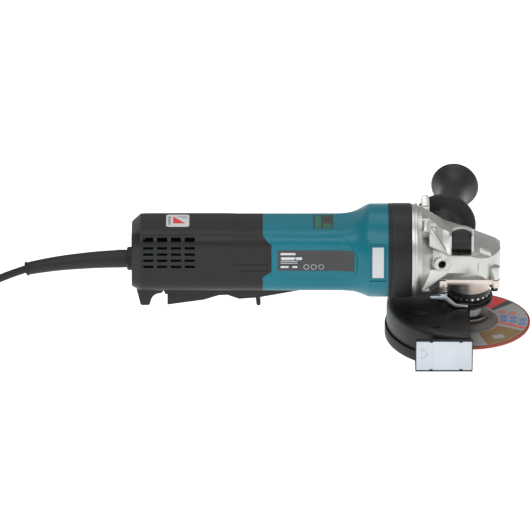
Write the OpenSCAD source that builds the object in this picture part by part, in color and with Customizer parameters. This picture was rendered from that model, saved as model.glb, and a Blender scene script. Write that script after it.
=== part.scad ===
// Corded angle grinder with a paddle switch, a clamp-on guard with a clip cover, and a side handle.
// X runs forward along the motor, Z runs up the spindle. The origin is at the mouth of the free handle thread.

/* [Wheel] */
// Diameter of the abrasive wheel
wheel_d = 125; // [100:1:125]
// Thickness of the abrasive wheel
wheel_t = 3; // [1:0.5:6]
// Height of the wheel's upper face below the motor axis
wheel_drop = 79; // [77:0.5:81]
// Radius of the wheel's raised centre
hub_r = 29; // [26:0.5:32]
// Rise of the wheel's centre
hub_rise = 4.5; // [3:0.5:5]

/* [Gears] */
// Teeth of the pinion on the armature
pinion_teeth = 11; // [10:1:13]
// Teeth of the bevel gear on the spindle
gear_teeth = 38; // [36:1:44]
// Pitch radius of the bevel gear
gear_r = 24; // [22:0.5:25]

/* [Motor housing] */
// Half width of the slim part of the body
body_hw = 33; // [32:0.5:38]
// Half height of the slim part of the body
body_hh = 33.5; // [32:0.5:38]
// Corner radius of the slim part of the body
body_r = 16; // [12:0.5:18]
// Drop of the body's middle below the motor axis
body_drop = 2; // [0:0.5:3]
// Radius of the barrel round the fan
barrel_r = 47.6; // [45:0.2:50]
// Wall of the motor housing
wall = 2.5; // [2:0.1:3]
// Length of the motor housing behind the barrel
body_len = 108; // [100:1:130]

/* [Rear handle] */
// Length of the rear handle
handle_len = 133; // [128:1:160]
// Wall of the rear handle's shells
shell_wall = 2.6; // [2:0.1:3]
// Columns of vents on each side
vent_cols = 4; // [2:1:4]
// Depth of the paddle below the handle
paddle_depth = 17; // [14:0.5:20]
// Half width of the paddle
paddle_hw = 15; // [12:0.5:16]

/* [Gear head] */
// Half width of the gear head
head_hw = 34; // [32:0.5:38]
// Reach of the gear head in front of the spindle
head_front = 31; // [30:0.5:36]
// Radius of the threads for the side handle
thread_r = 4; // [3:0.1:5]
// Depth of the threads for the side handle
thread_len = 13; // [10:0.5:14]
// Forward lean of the side handle in degrees
handle_lean = 8; // [0:1:12]
// Radius of the nose that carries the guard
nose_r = 19.1; // [18.8:0.1:20]

/* [Guard] */
// Outer radius of the guard
guard_r = 84; // [80:0.5:88]
// Height of the guard's skirt
guard_h = 37; // [34:0.5:39]
// Sheet thickness of the guard
guard_t = 2; // [1.5:0.1:2.4]

/* [Side handle] */
// Length of the side handle from its seat to its end
grip_len = 124; // [110:1:150]
// Radius of the hand flange
grip_flange_r = 32.5; // [28:0.5:36]
// Radius of the grip's neck
grip_neck_r = 14.5; // [12:0.5:17]
// Radius of the grip's flared end
grip_end_r = 24.5; // [20:0.5:27]

/* [Cord] */
// Diameter of the cord
cord_d = 8; // [7:0.2:9.6]

/* [Hidden] */
$fn = 64;
eps = 0.01;
gap = 0.3;        // clearance between pieces that move past each other
run = 0.05;       // radial clearance of a running fit

// stations along X
head_rear = -49;                            // rear of the gear head's walls
flange_rear = -59;                          // joint of the gear head and the fan ring
ring_rear = -83;                            // joint of the fan ring and the motor housing
barrel_rear = -102;
cone_mid = -118;
cone_rear = -134;
split_x = barrel_rear - body_len;           // joint of the motor housing and the rear handle
tongue = 8.5;                               // the handle's side tongues reach this far forward
rear_x = split_x - handle_len;              // rear wall of the handle
boss_rear = rear_x - 5;

// heights
body_zc = -body_drop;
body_bottom = body_zc - body_hh;
slot_top = body_bottom + 4.2;               // ceiling of the slot that the paddle rises into
box_top = -20;                              // joint of the gear head and the bearing box
box_h = 9;
collar_top = -40.5;
collar_h = 13.5;
guard_top = collar_top - collar_h;          // upper face of the guard's plate
skirt_bottom = guard_top - guard_h;
cover_t = 2;
floor_z = skirt_bottom - gap - cover_t;     // lowest plane of the tool
wheel_top = -wheel_drop;

// free handle thread: its axis leans forward and crosses the motor axis' height
thread_x = -28.6;

// bevel gears share one apex where their axes cross
pinion_r = gear_r * pinion_teeth / gear_teeth;
tooth_h = 1.0;
tooth_root = 1.5;
cone_len = norm([gear_r, pinion_r]);
gear_cone = atan(gear_r / pinion_r);
face_ratio = 0.68;                          // small end over large end

// bearings: [x or z of the middle, bore radius, outer radius, width]
front_brg = [-52.5, 5, 15, 9];
rear_brg = [split_x + 6.5, 4, 11, 7];
spindle_brg = [-36, 6, 16, 10];
shaft_r = 6;
shaft_neck_r = 4.5;
pinion_bore = 2.8;
core_r = 22;
stator_x = [cone_rear - 29, cone_rear + 27];
stator_r = min(body_hw - wall, -slot_top - 1.2, body_zc + body_hh - wall) - 0.6;
comm_x = [split_x + 14, split_x + 30];
comm_r = 12;
brush_r = 21;                               // outer end of the brushes
holder_r = body_hw - wall - 1;
fan_x = [ring_rear + 1, ring_rear + 18];
fan_r = barrel_r - 4.6;
spindle_r = 6;
spindle_top_r = 4;
spindle_thread_r = 7;
needle_r = 7;
needle_z = 8;

// paddle
pivot_x = -152;
pivot_z = slot_top - 3.6;
pin_r = 2;
paddle_rear = split_x - 97;
slot_hw = paddle_hw + gap + 0.3;
plunger_x = split_x - 5;
lock_x = split_x - 5.5;
lock_z = body_bottom - 7.5;

// shaft lock, pressed down
button_x = -9;
button_y = -21;
button_r = 6.4;
button_top = 27.5;
button_seat = 16.5;

// guard lever's pivot
lever_x = -27;
lever_y = -24;
lever_z = collar_top + 2.5;

// side handle
grip_seat = 1;
flange_s = 25;                               // where the hand flange begins along the handle

// cord: points along the cord guard and along the free run, chosen by hand and set out from the handle's rear boss
function from_boss(points) = [for (p = points) p + [boss_rear, 0, 0]];
guard_path = from_boss([[-3, 0, -9.7], [-24, 0, -10.6], [-47, 0, -12.5], [-70, 0, -15.2], [-90, 0, -18.7],
  [-103, 0, -21.5]]);
cord_path = from_boss([[-103, 0, -21.5], [-112, 0, -24.8], [-122, 0, -28.8], [-132, 0, -33.3], [-142, 0, -38.4],
  [-152, 0, -43.9], [-162, 0, -49.5], [-171, 0, -55], [-180, 0, -60.8], [-188, 0, -65.5], [-195, 0, -69.5],
  [-202, 0, -72], [-209, 0, -73.2]]);
coil_c = [boss_rear - 218, 48];
coil_r = 48;
coil_cols = 3;
coil_rows = 3;
plug_x = coil_c[0] - 50;                    // the plug lies on top of the coil
plug_y = 47;
plug_hh = 8.5;
plug_z = floor_z + coil_rows * cord_d + plug_hh + 0.02;
lead_z = floor_z + 1.5 * cord_d;            // the last turn lies outside, in the second layer
lead_arc = 80;                              // the lead climbs from it to the plug over this angle
lead_path = concat([for (i = [0 : 8]) let (t = i / 8, s = t * t * (3 - 2 * t), a = -90 - lead_arc * t,
  r = coil_r + cord_d - (coil_r + cord_d - 50) * s)
  [coil_c[0] + r * cos(a), coil_c[1] + r * sin(a), lead_z + (plug_z - lead_z) * s]], [[plug_x, plug_y - 1, plug_z]]);

// ---- helpers ----
module home() translate([-thread_x, head_hw, 0]) children();

module xcyl(r, x0, x1, y = 0, z = 0) translate([x0, y, z]) rotate([0, 90, 0]) cylinder(r = r, h = x1 - x0);

module ycyl(r, y0, y1, x = 0, z = 0) translate([x, y1, z]) rotate([90, 0, 0]) cylinder(r = r, h = y1 - y0);

module zcyl(r, z0, z1, x = 0, y = 0) translate([x, y, z0]) cylinder(r = r, h = z1 - z0);

module box(x0, x1, y0, y1, z0, z1) translate([x0, y0, z0]) cube([x1 - x0, y1 - y0, z1 - z0]);

module xtube(ro, ri, x0, x1, y = 0, z = 0) difference() {
  xcyl(ro, x0, x1, y, z);
  xcyl(ri, x0 - 1, x1 + 1, y, z);
}

module ztube(ro, ri, z0, z1) difference() {
  zcyl(ro, z0, z1);
  zcyl(ri, z0 - 1, z1 + 1);
}

// a bar along X with rounded edges
module xbar(x0, x1, hw, hh, r, zc = 0) {
  box(x0, x1, -hw, hw, zc - hh + r, zc + hh - r);
  box(x0, x1, -hw + r, hw - r, zc - hh, zc + hh);
  for (s = [-1, 1], t = [-1, 1]) xcyl(r, x0, x1, s * (hw - r), zc + t * (hh - r));
}

// a thin slice of such a bar, for a hull
module slice(x, hw, hh, r, zc = 0) for (s = [-1, 1], t = [-1, 1])
  translate([x, s * (hw - r), zc + t * (hh - r)]) rotate([0, 90, 0]) cylinder(r = r, h = 0.1, $fn = 32);

// screw along -X with a socket head, its head's front face at x
module xscrew(x, y, z, r, head_r, head_h, len) translate([x, y, z]) rotate([0, -90, 0]) difference() {
  union() {
    cylinder(r = head_r, h = head_h);
    cylinder(r = r, h = head_h + len);
  }
  translate([0, 0, -1]) cylinder(r = head_r * 0.5, h = head_h * 0.6 + 1, $fn = 6);
}

// screw along +Z with a socket head, its head's lower face at z
module zscrew(x, y, z, r, head_r, head_h, len) translate([x, y, z]) difference() {
  union() {
    cylinder(r = head_r, h = head_h);
    cylinder(r = r, h = head_h + len);
  }
  translate([0, 0, -1]) cylinder(r = head_r * 0.5, h = head_h * 0.6 + 1, $fn = 6);
}

// outline of a gear with straight flanks
function gear_outline(n, root, tip, root_half, tip_half) = [
  for (i = [0 : n - 1], c = [[root, -root_half], [tip, -tip_half], [tip, tip_half], [root, root_half]])
    let (a = 360 * i / n + c[1]) c[0] * [cos(a), sin(a)]
];

// a tube swept along points that lie in any plane but one across `side`
function tangent(p, i) = let (d = p[min(i + 1, len(p) - 1)] - p[max(i - 1, 0)]) d / norm(d);
module sweep(path, radii, side, sides = 10) {
  n = len(path);
  ring = [for (i = [0 : n - 1]) let (t = tangent(path, i), u = cross(t, side) / norm(cross(t, side)), v = cross(u, t))
    [for (k = [0 : sides - 1]) path[i] + radii[i] * (cos(360 * k / sides) * u + sin(360 * k / sides) * v)]];
  pts = [for (r = ring, q = r) q];
  walls = [for (i = [0 : n - 2], k = [0 : sides - 1])
    [i * sides + k, i * sides + (k + 1) % sides, (i + 1) * sides + (k + 1) % sides, (i + 1) * sides + k]];
  ends = [[for (k = [sides - 1 : -1 : 0]) k], [for (k = [0 : sides - 1]) (n - 1) * sides + k]];
  polyhedron(points = pts, faces = concat(walls, ends), convexity = 4);
}

// a coil spring standing on z = 0
module coil_spring(r, wire, h, turns, per_turn = 10) {
  steps = turns * per_turn;
  path = [for (i = [0 : steps]) [r * cos(360 * i / per_turn), r * sin(360 * i / per_turn),
    wire + (h - 2 * wire) * i / steps]];
  sweep(path, [for (p = path) wire], [0, 0, 1], 6);
}

// ---- motor housing ----
module housing_solid(g) {
  xbar(split_x + g, cone_rear + eps, body_hw - g, body_hh - g, body_r - g, body_zc);
  hull() {
    slice(cone_rear, body_hw - g, body_hh - g, body_r - g, body_zc);
    slice(cone_mid, body_hw + 3.5 - g, body_hh + 3 - g, 26 - g, body_zc / 2);
  }
  hull() {
    slice(cone_mid, body_hw + 3.5 - g, body_hh + 3 - g, 26 - g, body_zc / 2);
    xcyl(barrel_r - g, barrel_rear, barrel_rear + 0.1);
  }
  xcyl(barrel_r - g, barrel_rear, ring_rear);
}

// the handle's side tongues, which reach forward into the housing
module tongues(grow) for (s = [-1, 1]) translate([0, s * (body_hw - shell_wall / 2 + 0.5), 0])
  rotate([90, 0, 0]) translate([0, 0, -shell_wall / 2 - 0.5]) linear_extrude(shell_wall + 1)
    polygon([[split_x - 1, -15 - grow], [split_x + tongue + grow, -9 - grow], [split_x + tongue + grow, 20 + grow],
      [split_x - 1, 27 + grow]]);

module motor_housing() color("teal") home() difference() {
  union() {
    difference() {
      housing_solid(0);
      housing_solid(wall);
      xcyl(barrel_r - wall, ring_rear - 2, ring_rear + 1);
      for (t = [-1, 1]) box(split_x - 1, split_x + wall + 1, t * 21 - 5, t * 21 + 5, -12, 12);
    }
    difference() {
      xcyl(14, split_x, split_x + 10);
      xcyl(rear_brg[2], split_x - 1, split_x + 11);
    }
    box(split_x + eps, pivot_x + 8, -slot_hw - 2.4, slot_hw + 2.4, body_bottom + 0.5, slot_top + 1.2);
  }
  tongues(0.1);
  box(split_x - 1, pivot_x + 6, -slot_hw, slot_hw, body_bottom - 5, slot_top);
  ycyl(pin_r, -slot_hw - 2, slot_hw + 2, pivot_x, pivot_z);
}

module fan_ring() color("dimgray") home() difference() {
  union() {
    xcyl(barrel_r + 0.3, ring_rear, flange_rear);
    xcyl(barrel_r - wall, ring_rear - 2, ring_rear + eps);
  }
  xcyl(barrel_r - 3.6, ring_rear - 3, flange_rear + 1);
}

module fan_baffle() color("dimgray") home() xtube(barrel_r - wall, 26, ring_rear - 11, ring_rear - 9);

// ---- rear handle ----
module rear_solid(g) {
  hull() {
    slice(rear_x + 9, body_hw - g, body_hh - g, body_r - g, body_zc);
    slice(rear_x + g, body_hw - 7 - g, body_hh - 5 - g, body_r - 3 - g, body_zc - 2);
  }
  xbar(rear_x + 9, split_x + sign(g), body_hw - g, body_hh - g, body_r - g, body_zc);
}

module horn(g) translate([0, 20 - g, 0]) rotate([90, 0, 0]) linear_extrude(2 * (20 - g))
  polygon([[rear_x + 3 + g, -28], [rear_x + 3 + g, -30], [rear_x + 13 + g, body_bottom - 18 + g],
    [rear_x + 24 - g, body_bottom - 18 + g], [rear_x + 31 - g, body_bottom - 8 + g], [rear_x + 31 - g, -28]]);

module rear_shells() difference() {
  union() {
    difference() {
      union() {
        rear_solid(0);
        horn(0);
      }
      rear_solid(shell_wall);
      horn(shell_wall);
    }
    intersection() {
      tongues(0);
      box(split_x - 0.5, split_x + 20, -body_hw, body_hw, -40, 40);
    }
    xcyl(12, boss_rear, rear_x + 8, 0, -9.5);
  }
  xcyl(9.2, boss_rear - 1, rear_x + 9, 0, -9.5);
  box(paddle_rear - 5, split_x + 1, -slot_hw, slot_hw, body_bottom - 30, body_bottom + shell_wall + 2);
  for (c = [0 : vent_cols - 1], r = [0 : 4]) box(rear_x + 12 + c * 14, rear_x + 22.3 + c * 14,
    -body_hw - 1, body_hw + 1, -4 + r * 6.9, -1.2 + r * 6.9 + (r == 4 ? 1.2 : 0));
}

shell_screws = [[rear_x + 6 + 14 * vent_cols + 8, 20], [split_x - 22, 20], [rear_x + 8 + 14 * vent_cols + 6, -24]];

module shell_bosses() difference() {
  for (p = shell_screws) ycyl(4, -body_hw + 1, body_hw - 1, p[0], p[1]);
  for (p = shell_screws) ycyl(1.8, -body_hw + 6, body_hw + 1, p[0], p[1]);
  for (p = shell_screws) ycyl(3.2, body_hw - 6, body_hw + 1, p[0], p[1]);
}

module rear_shell_near() color([0.1, 0.1, 0.1]) home() {
  difference() {
    rear_shells();
    box(boss_rear - 1, 0, 0, 60, -80, 60);
  }
  intersection() {
    shell_bosses();
    box(boss_rear, 0, -60, 0, -80, 60);
  }
}

module rear_shell_far() color([0.12, 0.12, 0.12]) home() {
  difference() {
    rear_shells();
    box(boss_rear - 1, 0, -60, 0, -80, 60);
    for (p = shell_screws) ycyl(3.2, body_hw - 6, body_hw + 1, p[0], p[1]);
  }
  intersection() {
    shell_bosses();
    box(boss_rear, 0, 0, 60, -80, 60);
  }
}

module rear_shell_screws() color("dimgray") home() for (p = shell_screws) {
  ycyl(3, body_hw - 6 + eps, body_hw - 3.5, p[0], p[1]);
  ycyl(1.7, -body_hw + 7, body_hw - 6 + 2 * eps, p[0], p[1]);
}

// ---- gear head ----
head_top = 9;                       // top edge of the side walls
head_low = -10;                     // lower edge of the side walls
ridge_x = [-38, -28];               // where the ridge bends
ridge_z = [37, 29, 18, 8.5];        // its heights there, over the spindle and at the front
gear_rim = gear_r + 1.4;
gear_base = -9.2;                   // plane under the bevel gear's teeth

module head_solid(g) intersection() {
  union() {
    hull() {
      xcyl(44.5 - g, head_rear - 0.1, head_rear);
      translate([ridge_x[0], 0, 0]) head_section(g, ridge_z[0], head_hw - 4);
    }
    hull() {
      translate([ridge_x[0], 0, 0]) head_section(g, ridge_z[0], head_hw - 4);
      translate([ridge_x[1], 0, 0]) head_section(g, ridge_z[1], head_hw);
    }
    hull() {
      translate([ridge_x[1], 0, 0]) head_section(g, ridge_z[1], head_hw);
      head_section(g, ridge_z[2], head_hw);
      translate([head_front - 5 - g, 0, 0]) head_section(g, ridge_z[3], head_hw, -2);
      translate([head_front - g, 0, 0]) head_section(g + 4, ridge_z[3] + 1, head_hw, -3);
    }
  }
  union() {
    box(-60, -2, -60, 60, -60, 60);
    zcyl(head_hw - g, -60, 60, -2, 0);
  }
}

// one upright slice of the head: side walls, a narrower ridge above and a narrower floor below
module head_section(g, ridge, hw, top = head_top) rotate([90, 0, 90]) linear_extrude(0.1) polygon([
  [-hw + g, head_low + g / 2], [-hw + g, top - g / 2], [-12 + g / 3, ridge - g],
  [12 - g / 3, ridge - g], [hw - g, top - g / 2], [hw - g, head_low + g / 2],
  [hw - 6 - g, box_top + g], [-hw + 6 + g, box_top + g]]);

head_screws = [[14, 37.5], [-14, 37.5], [14, -37.5], [-14, -37.5]];
box_screws = [[25, 24], [25, -24], [-25, 24]];   // the guard lever's pivot is the fourth
box_corners = concat(box_screws, [[lever_x, lever_y]]);

// turns +Z to the direction in which the handle leaves on that side
module out(side) translate([thread_x, side * head_hw, 0])
  rotate([0, 0, side > 0 ? 90 - handle_lean : -90 + handle_lean]) rotate([0, 90, 0]) children();

module gear_housing() color("silver") home() difference() {
  union() {
    difference() {
      union() {
        head_solid(0);
        xcyl(barrel_r - 0.6, flange_rear, flange_rear + 6);
        xcyl(barrel_r - 2.4, flange_rear + 6 - eps, head_rear);
      }
      head_solid(4);
      xcyl(40.5, head_rear - 1, head_rear + 2);
    }
    xcyl(26, flange_rear, head_rear + 3);
    for (p = head_screws) xcyl(5, head_rear - 2, head_rear + 8, p[0], p[1]);
    for (s = [-1, 1]) out(s) translate([0, 0, -thread_len]) cylinder(r = thread_r + 4, h = thread_len + 1.5);
    zcyl(9.5, needle_z - 5, needle_z + 6);
    zcyl(button_r + 3.2, 9, button_top - 1.5, button_x, button_y);
    for (p = box_corners) zcyl(5, box_top, -7, p[0], p[1]);
  }
  xcyl(front_brg[2], front_brg[0] - front_brg[3] / 2, head_rear + 4);
  xcyl(front_brg[2] - 3, flange_rear - 1, head_rear + 4);
  for (s = [-1, 1]) out(s) translate([0, 0, -thread_len - 1]) cylinder(r = thread_r, h = thread_len + 3);
  for (p = head_screws) xcyl(2.2, flange_rear - 1, head_rear + 9, p[0], p[1]);
  for (p = head_screws) xcyl(4.2, head_rear + 3, head_rear + 30, p[0], p[1]);
  zcyl(needle_r, needle_z - 6, needle_z + 5);
  zcyl(gear_rim + gap, box_top - 1, gear_base + 1);
  zcyl(button_r + run, button_seat, button_top + 1, button_x, button_y);
  zcyl(2.4 + run, 0, button_seat + 1, button_x, button_y);
  for (p = box_corners) zcyl(2, box_top - 1, -9, p[0], p[1]);
  for (s = [-1, 1]) out(s) cylinder(r = thread_r + 4.5, h = 8);
}

module gear_housing_screws() color("dimgray") home() for (p = head_screws)
  xscrew(head_rear + 8, p[0], p[1], 2, 3.8, 4.5, 15);

module rounded_plate(hw, r, z0, z1) {
  box(-hw + r, hw - r, -hw, hw, z0, z1);
  box(-hw, hw, -hw + r, hw - r, z0, z1);
  for (s = [-1, 1], t = [-1, 1]) zcyl(r, z0, z1, s * (hw - r), t * (hw - r));
}

module bearing_box() color([0.72, 0.7, 0.67]) home() difference() {
  union() {
    rounded_plate(29, 9, box_top - 5, box_top);
    for (p = box_screws) zcyl(5.4, box_top - box_h, box_top - 1, p[0], p[1]);
    zcyl(23, box_top - box_h, box_top - 1);
    zcyl(21.2, collar_top + 0.4, box_top - box_h + eps);
    zcyl(nose_r, guard_top + 1, collar_top + 1);
    zcyl(5.4, box_top - box_h, box_top - 1, lever_x, lever_y);
  }
  zcyl(17, spindle_brg[0] + spindle_brg[3] / 2, box_top + 1);
  zcyl(spindle_brg[2], spindle_brg[0] - spindle_brg[3] / 2, box_top);
  zcyl(12, guard_top, box_top);
  for (p = box_screws) zcyl(2.2, box_top - box_h - 1, box_top + 1, p[0], p[1]);
  zcyl(1.6, box_top - box_h - 4, box_top + 1, lever_x, lever_y);
}

module bearing_box_screws() color([0.08, 0.08, 0.08]) home() for (p = box_screws)
  zscrew(p[0], p[1], box_top - box_h - 4.5, 1.9, 3.8, 4.5, 17);

module dust_seal() color("saddlebrown") home() ztube(12, 8.3, -50, -43);

// ---- motor ----
module stator_core() color("gray") home() difference() {
  xcyl(stator_r, stator_x[0], stator_x[1]);
  xcyl(core_r + 1, stator_x[0] - 1, stator_x[1] + 1);
  for (s = [-1, 1]) box(stator_x[0] - 1, stator_x[1] + 1, s * 24 - 3, s * 24 + 3, -10, 10);
}

module field_coils() color([0.7, 0.35, 0.15]) home() for (s = [0, 180]) rotate([s, 0, 0]) difference() {
  union() {
    xtube(stator_r - 1, core_r + 1.5, stator_x[0] - 11, stator_x[0] - eps);
    xtube(stator_r - 1, core_r + 1.5, stator_x[1] + eps, stator_x[1] + 11);
  }
  box(-300, 0, -50, 50, -50, 9);
}

module armature_shaft() color("silver") home() union() {
  xcyl(rear_brg[1], split_x + wall + 0.5, comm_x[0] - 1);
  xcyl(shaft_r, comm_x[0] - 1, fan_x[1] + 2);
  xcyl(front_brg[1], fan_x[1] + 2, front_brg[0] + 6);
  xcyl(shaft_neck_r, front_brg[0] + 6, -gear_r - 0.5);
  xcyl(pinion_bore, -gear_r - 0.5, -11);
}

module armature_core() color("dimgray") home() difference() {
  xcyl(core_r, stator_x[0] + 2, stator_x[1] - 2);
  xcyl(shaft_r, stator_x[0], stator_x[1]);
  for (i = [0 : 11]) rotate([30 * i, 0, 0]) box(stator_x[0], stator_x[1], -0.8, 0.8, core_r - 2, core_r + 1);
}

module armature_windings() color([0.75, 0.4, 0.18]) home() {
  xtube(18, shaft_r, stator_x[0] - 8, stator_x[0] + 2 - eps);
  xtube(18, shaft_r, stator_x[1] - 2 + eps, stator_x[1] + 7);
}

module commutator() color([0.8, 0.5, 0.25]) home() difference() {
  xcyl(comm_r, comm_x[0], comm_x[1]);
  xcyl(shaft_r, comm_x[0] - 1, comm_x[1] + 1);
  for (i = [0 : 11]) rotate([30 * i, 0, 0]) box(comm_x[0] - 1, comm_x[1] - 2, -0.25, 0.25, comm_r - 1, comm_r + 1);
}

module cooling_fan() color("lightgray") home() difference() {
  union() {
    xcyl(12, fan_x[0], fan_x[1]);
    xcyl(fan_r, fan_x[1] - 2.5, fan_x[1]);
    for (i = [0 : 10]) rotate([360 / 11 * i, 0, 0]) box(fan_x[0], fan_x[1] - 2, -0.9, 0.9, 11, fan_r - 1);
  }
  xcyl(shaft_r, fan_x[0] - 1, fan_x[1] + 1);
}

module pinion() color("silver") home() difference() {
  translate([-gear_r, 0, 0]) rotate([0, 90, 0]) linear_extrude(gear_r * (1 - face_ratio), scale = face_ratio)
    polygon(gear_outline(pinion_teeth, pinion_r - tooth_root, pinion_r + tooth_h, 9.5, 2.4));
  xcyl(pinion_bore, -gear_r - 1, 0);
}

module pinion_nut() color("silver") home() difference() {
  translate([-gear_r * face_ratio + 0.05, 0, 0]) rotate([0, 90, 0]) cylinder(r = 3.7, h = 4, $fn = 6);
  xcyl(pinion_bore, -gear_r, 0);
}

module race(b, inner) {
  mid = (b[1] + b[2]) / 2;
  span = b[2] - b[1];
  ball = span * 0.28;
  rotate_extrude() difference() {
    if (inner) translate([b[1], -b[3] / 2]) square([span * 0.3, b[3]]);
    else translate([b[2] - span * 0.3, -b[3] / 2]) square([span * 0.3, b[3]]);
    translate([mid, 0]) circle(r = ball + 0.08);
  }
}

module balls(b, n) for (i = [0 : n - 1]) rotate([0, 0, 360 * i / n])
  translate([(b[1] + b[2]) / 2, 0, 0]) sphere(r = (b[2] - b[1]) * 0.28, $fn = 24);

module at_front() translate([front_brg[0], 0, 0]) rotate([0, 90, 0]) children();
module at_rear() translate([rear_brg[0], 0, 0]) rotate([0, 90, 0]) children();
module at_spindle() translate([0, 0, spindle_brg[0]]) children();

module armature_inner_rings() color("silver") home() {
  at_front() race(front_brg, true);
  at_rear() race(rear_brg, true);
}

module spindle_inner_ring() color("silver") home() at_spindle() race(spindle_brg, true);

module bearing_outer_rings() color("silver") home() {
  at_front() race(front_brg, false);
  at_rear() race(rear_brg, false);
  at_spindle() race(spindle_brg, false);
}

module bearing_balls() color("lightgray") home() {
  at_front() balls(front_brg, 8);
  at_rear() balls(rear_brg, 7);
  at_spindle() balls(spindle_brg, 8);
}

module needle_bearing() color("silver") home() ztube(needle_r, spindle_top_r + run, needle_z - 4, needle_z + 4);

module brush_holders() color([0.15, 0.15, 0.17]) home() for (s = [0, 180]) rotate([s, 0, 0]) difference() {
  box(comm_x[0] + 1, comm_x[1] - 1, comm_r + 1.2, holder_r, -6, 6);
  box(comm_x[0] + 3, comm_x[1] - 3, comm_r, holder_r - 1.5, -4, 4);
}

module carbon_brushes() color([0.2, 0.2, 0.2]) home() for (s = [0, 180]) rotate([s, 0, 0])
  box(comm_x[0] + 3.1, comm_x[1] - 3.1, comm_r + 0.3, brush_r, -3.9, 3.9);

module brush_springs() color("goldenrod") home() for (s = [0, 180]) rotate([s, 0, 0])
  translate([(comm_x[0] + comm_x[1]) / 2, brush_r + 0.05, 0]) rotate([-90, 0, 0])
    coil_spring(2.8, 0.4, holder_r - 1.6 - brush_r - 0.1, 4);

// ---- electrics ----
switch_bottom = -24;
plunger_r = 2.6;

module switch_body() color([0.1, 0.1, 0.12]) home() difference() {
  box(split_x - 42, split_x - 1, -11, 11, switch_bottom, -3);
  zcyl(plunger_r + run, switch_bottom - 1, -8, plunger_x, 0);
}

module switch_plunger() color([0.75, 0.1, 0.1]) home() zcyl(plunger_r, paddle_top(plunger_x + plunger_r) + gap, -14, plunger_x, 0);

module speed_module() color([0.12, 0.14, 0.12]) home() union() {
  box(split_x - 92, split_x - 48, -14, 14, -19, -2);
  for (i = [0 : 4]) box(split_x - 90, split_x - 50, -13 + i * 6, -11 + i * 6, -2 - eps, 8);
}

module capacitor() color([0.85, 0.8, 0.55]) home() xcyl(7, split_x - 40, split_x - 14, 0, 8);

module cord_clamp() color([0.12, 0.12, 0.12]) home() difference() {
  box(rear_x + 13, rear_x + 21, -13, 13, -20, 2);
  xcyl(cord_d / 2, rear_x + 10, rear_x + 25, 0, -9.5);
  box(rear_x + 12, rear_x + 22, -14, 14, -9.8, -9.2);
}

// ---- output ----
module spindle() color("silver") home() difference() {
  union() {
    zcyl(spindle_top_r, 0, needle_z + 4.5);
    zcyl(spindle_r, spindle_brg[0] - 5, eps);
    zcyl(8, -62, spindle_brg[0] - 5 + eps);
    zcyl(spindle_thread_r, -89, -62 + eps);
  }
  for (s = [-1, 1]) box(-9, 9, s * 10 - 3, s * 10 + 3, -61, -56);
}

gear_face = -pinion_r * face_ratio;

module bevel_gear() color("silver") home() difference() {
  union() {
    intersection() {
      translate([0, 0, gear_base]) linear_extrude(gear_face - gear_base, scale = gear_face / gear_base)
        rotate([0, 0, 180 + 180 / gear_teeth]) polygon(gear_outline(gear_teeth,
          -gear_base * tan(gear_cone - atan(tooth_root / cone_len)),
          -gear_base * tan(gear_cone + atan(tooth_h / cone_len)), 2.2, 0.8));
      zcyl(gear_rim, -20, 0);
    }
    zcyl(gear_rim, -13.5, gear_base + eps);
    zcyl(10.5, spindle_brg[0] + 5.2, -13.5 + eps);
  }
  zcyl(spindle_r, -60, 0);
}

hub_z = wheel_top + hub_rise;

module inner_flange() color("silver") home() difference() {
  union() {
    zcyl(20, hub_z, hub_z + 5);
    zcyl(13, hub_z + 5 - eps, -62);
    zcyl(11.05, hub_z - wheel_t + 0.3, hub_z + eps);
  }
  zcyl(spindle_thread_r, -90, -60);
  zcyl(16, hub_z - 1, hub_z + 0.6);
}

module abrasive_wheel() color([0.5, 0.5, 0.5]) home() rotate_extrude($fn = 128) polygon([
  [11.1, hub_z], [hub_r - 4, hub_z], [hub_r, wheel_top], [wheel_d / 2, wheel_top], [wheel_d / 2, wheel_top - wheel_t],
  [hub_r - 1, wheel_top - wheel_t], [hub_r - 5, hub_z - wheel_t], [11.1, hub_z - wheel_t]]);

module lock_nut() color("dimgray") home() difference() {
  union() {
    zcyl(19, hub_z - wheel_t - 6, hub_z - wheel_t);
    zcyl(15, hub_z - wheel_t - 9, hub_z - wheel_t - 6 + eps);
  }
  zcyl(spindle_thread_r, -95, -70);
  for (i = [0 : 3]) zcyl(2.4, -95, hub_z - wheel_t - 4, 15 * cos(90 * i), 15 * sin(90 * i));
}

// ---- guard ----
band_t = 1.6;

module half() box(-120, 0, -120, 120, -120, 0);

module wheel_guard() color([0.1, 0.1, 0.1]) home() difference() {
  union() {
    ztube(nose_r + run + band_t, nose_r + run, guard_top - guard_t, collar_top);
    rotate_extrude($fn = 96) polygon([[nose_r + run + band_t - eps, guard_top - guard_t], [23.3, guard_top - guard_t],
      [23.3, guard_top], [nose_r + run + band_t - eps, guard_top]]);
    intersection() {
      half();
      rotate_extrude($fn = 128) polygon([
        [23.2, guard_top - guard_t], [23.2, guard_top], [40, guard_top + 1], [44, guard_top - 1],
        [guard_r - 6, guard_top - 1], [guard_r - 2, guard_top - 2.5], [guard_r, guard_top - 6], [guard_r, skirt_bottom],
        [guard_r - guard_t, skirt_bottom], [guard_r - guard_t, guard_top - 6.5],
        [guard_r - 3.4, guard_top - 4], [guard_r - 6.5, guard_top - 3], [44, guard_top - 3], [40, guard_top - 1.2]]);
    }
  }
  for (i = [0 : band_holes - 1]) rotate([0, 0, i * 360 / band_holes]) xcyl(1.1, 15, 25, 0, guard_top + 7);
  for (p = rivets) zcyl(1.6, -70, -40, p[0], p[1]);
}

band_holes = 22;
rivets = [for (a = [118, 152, 208, 242]) 72 * [cos(a), sin(a)]];

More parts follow.
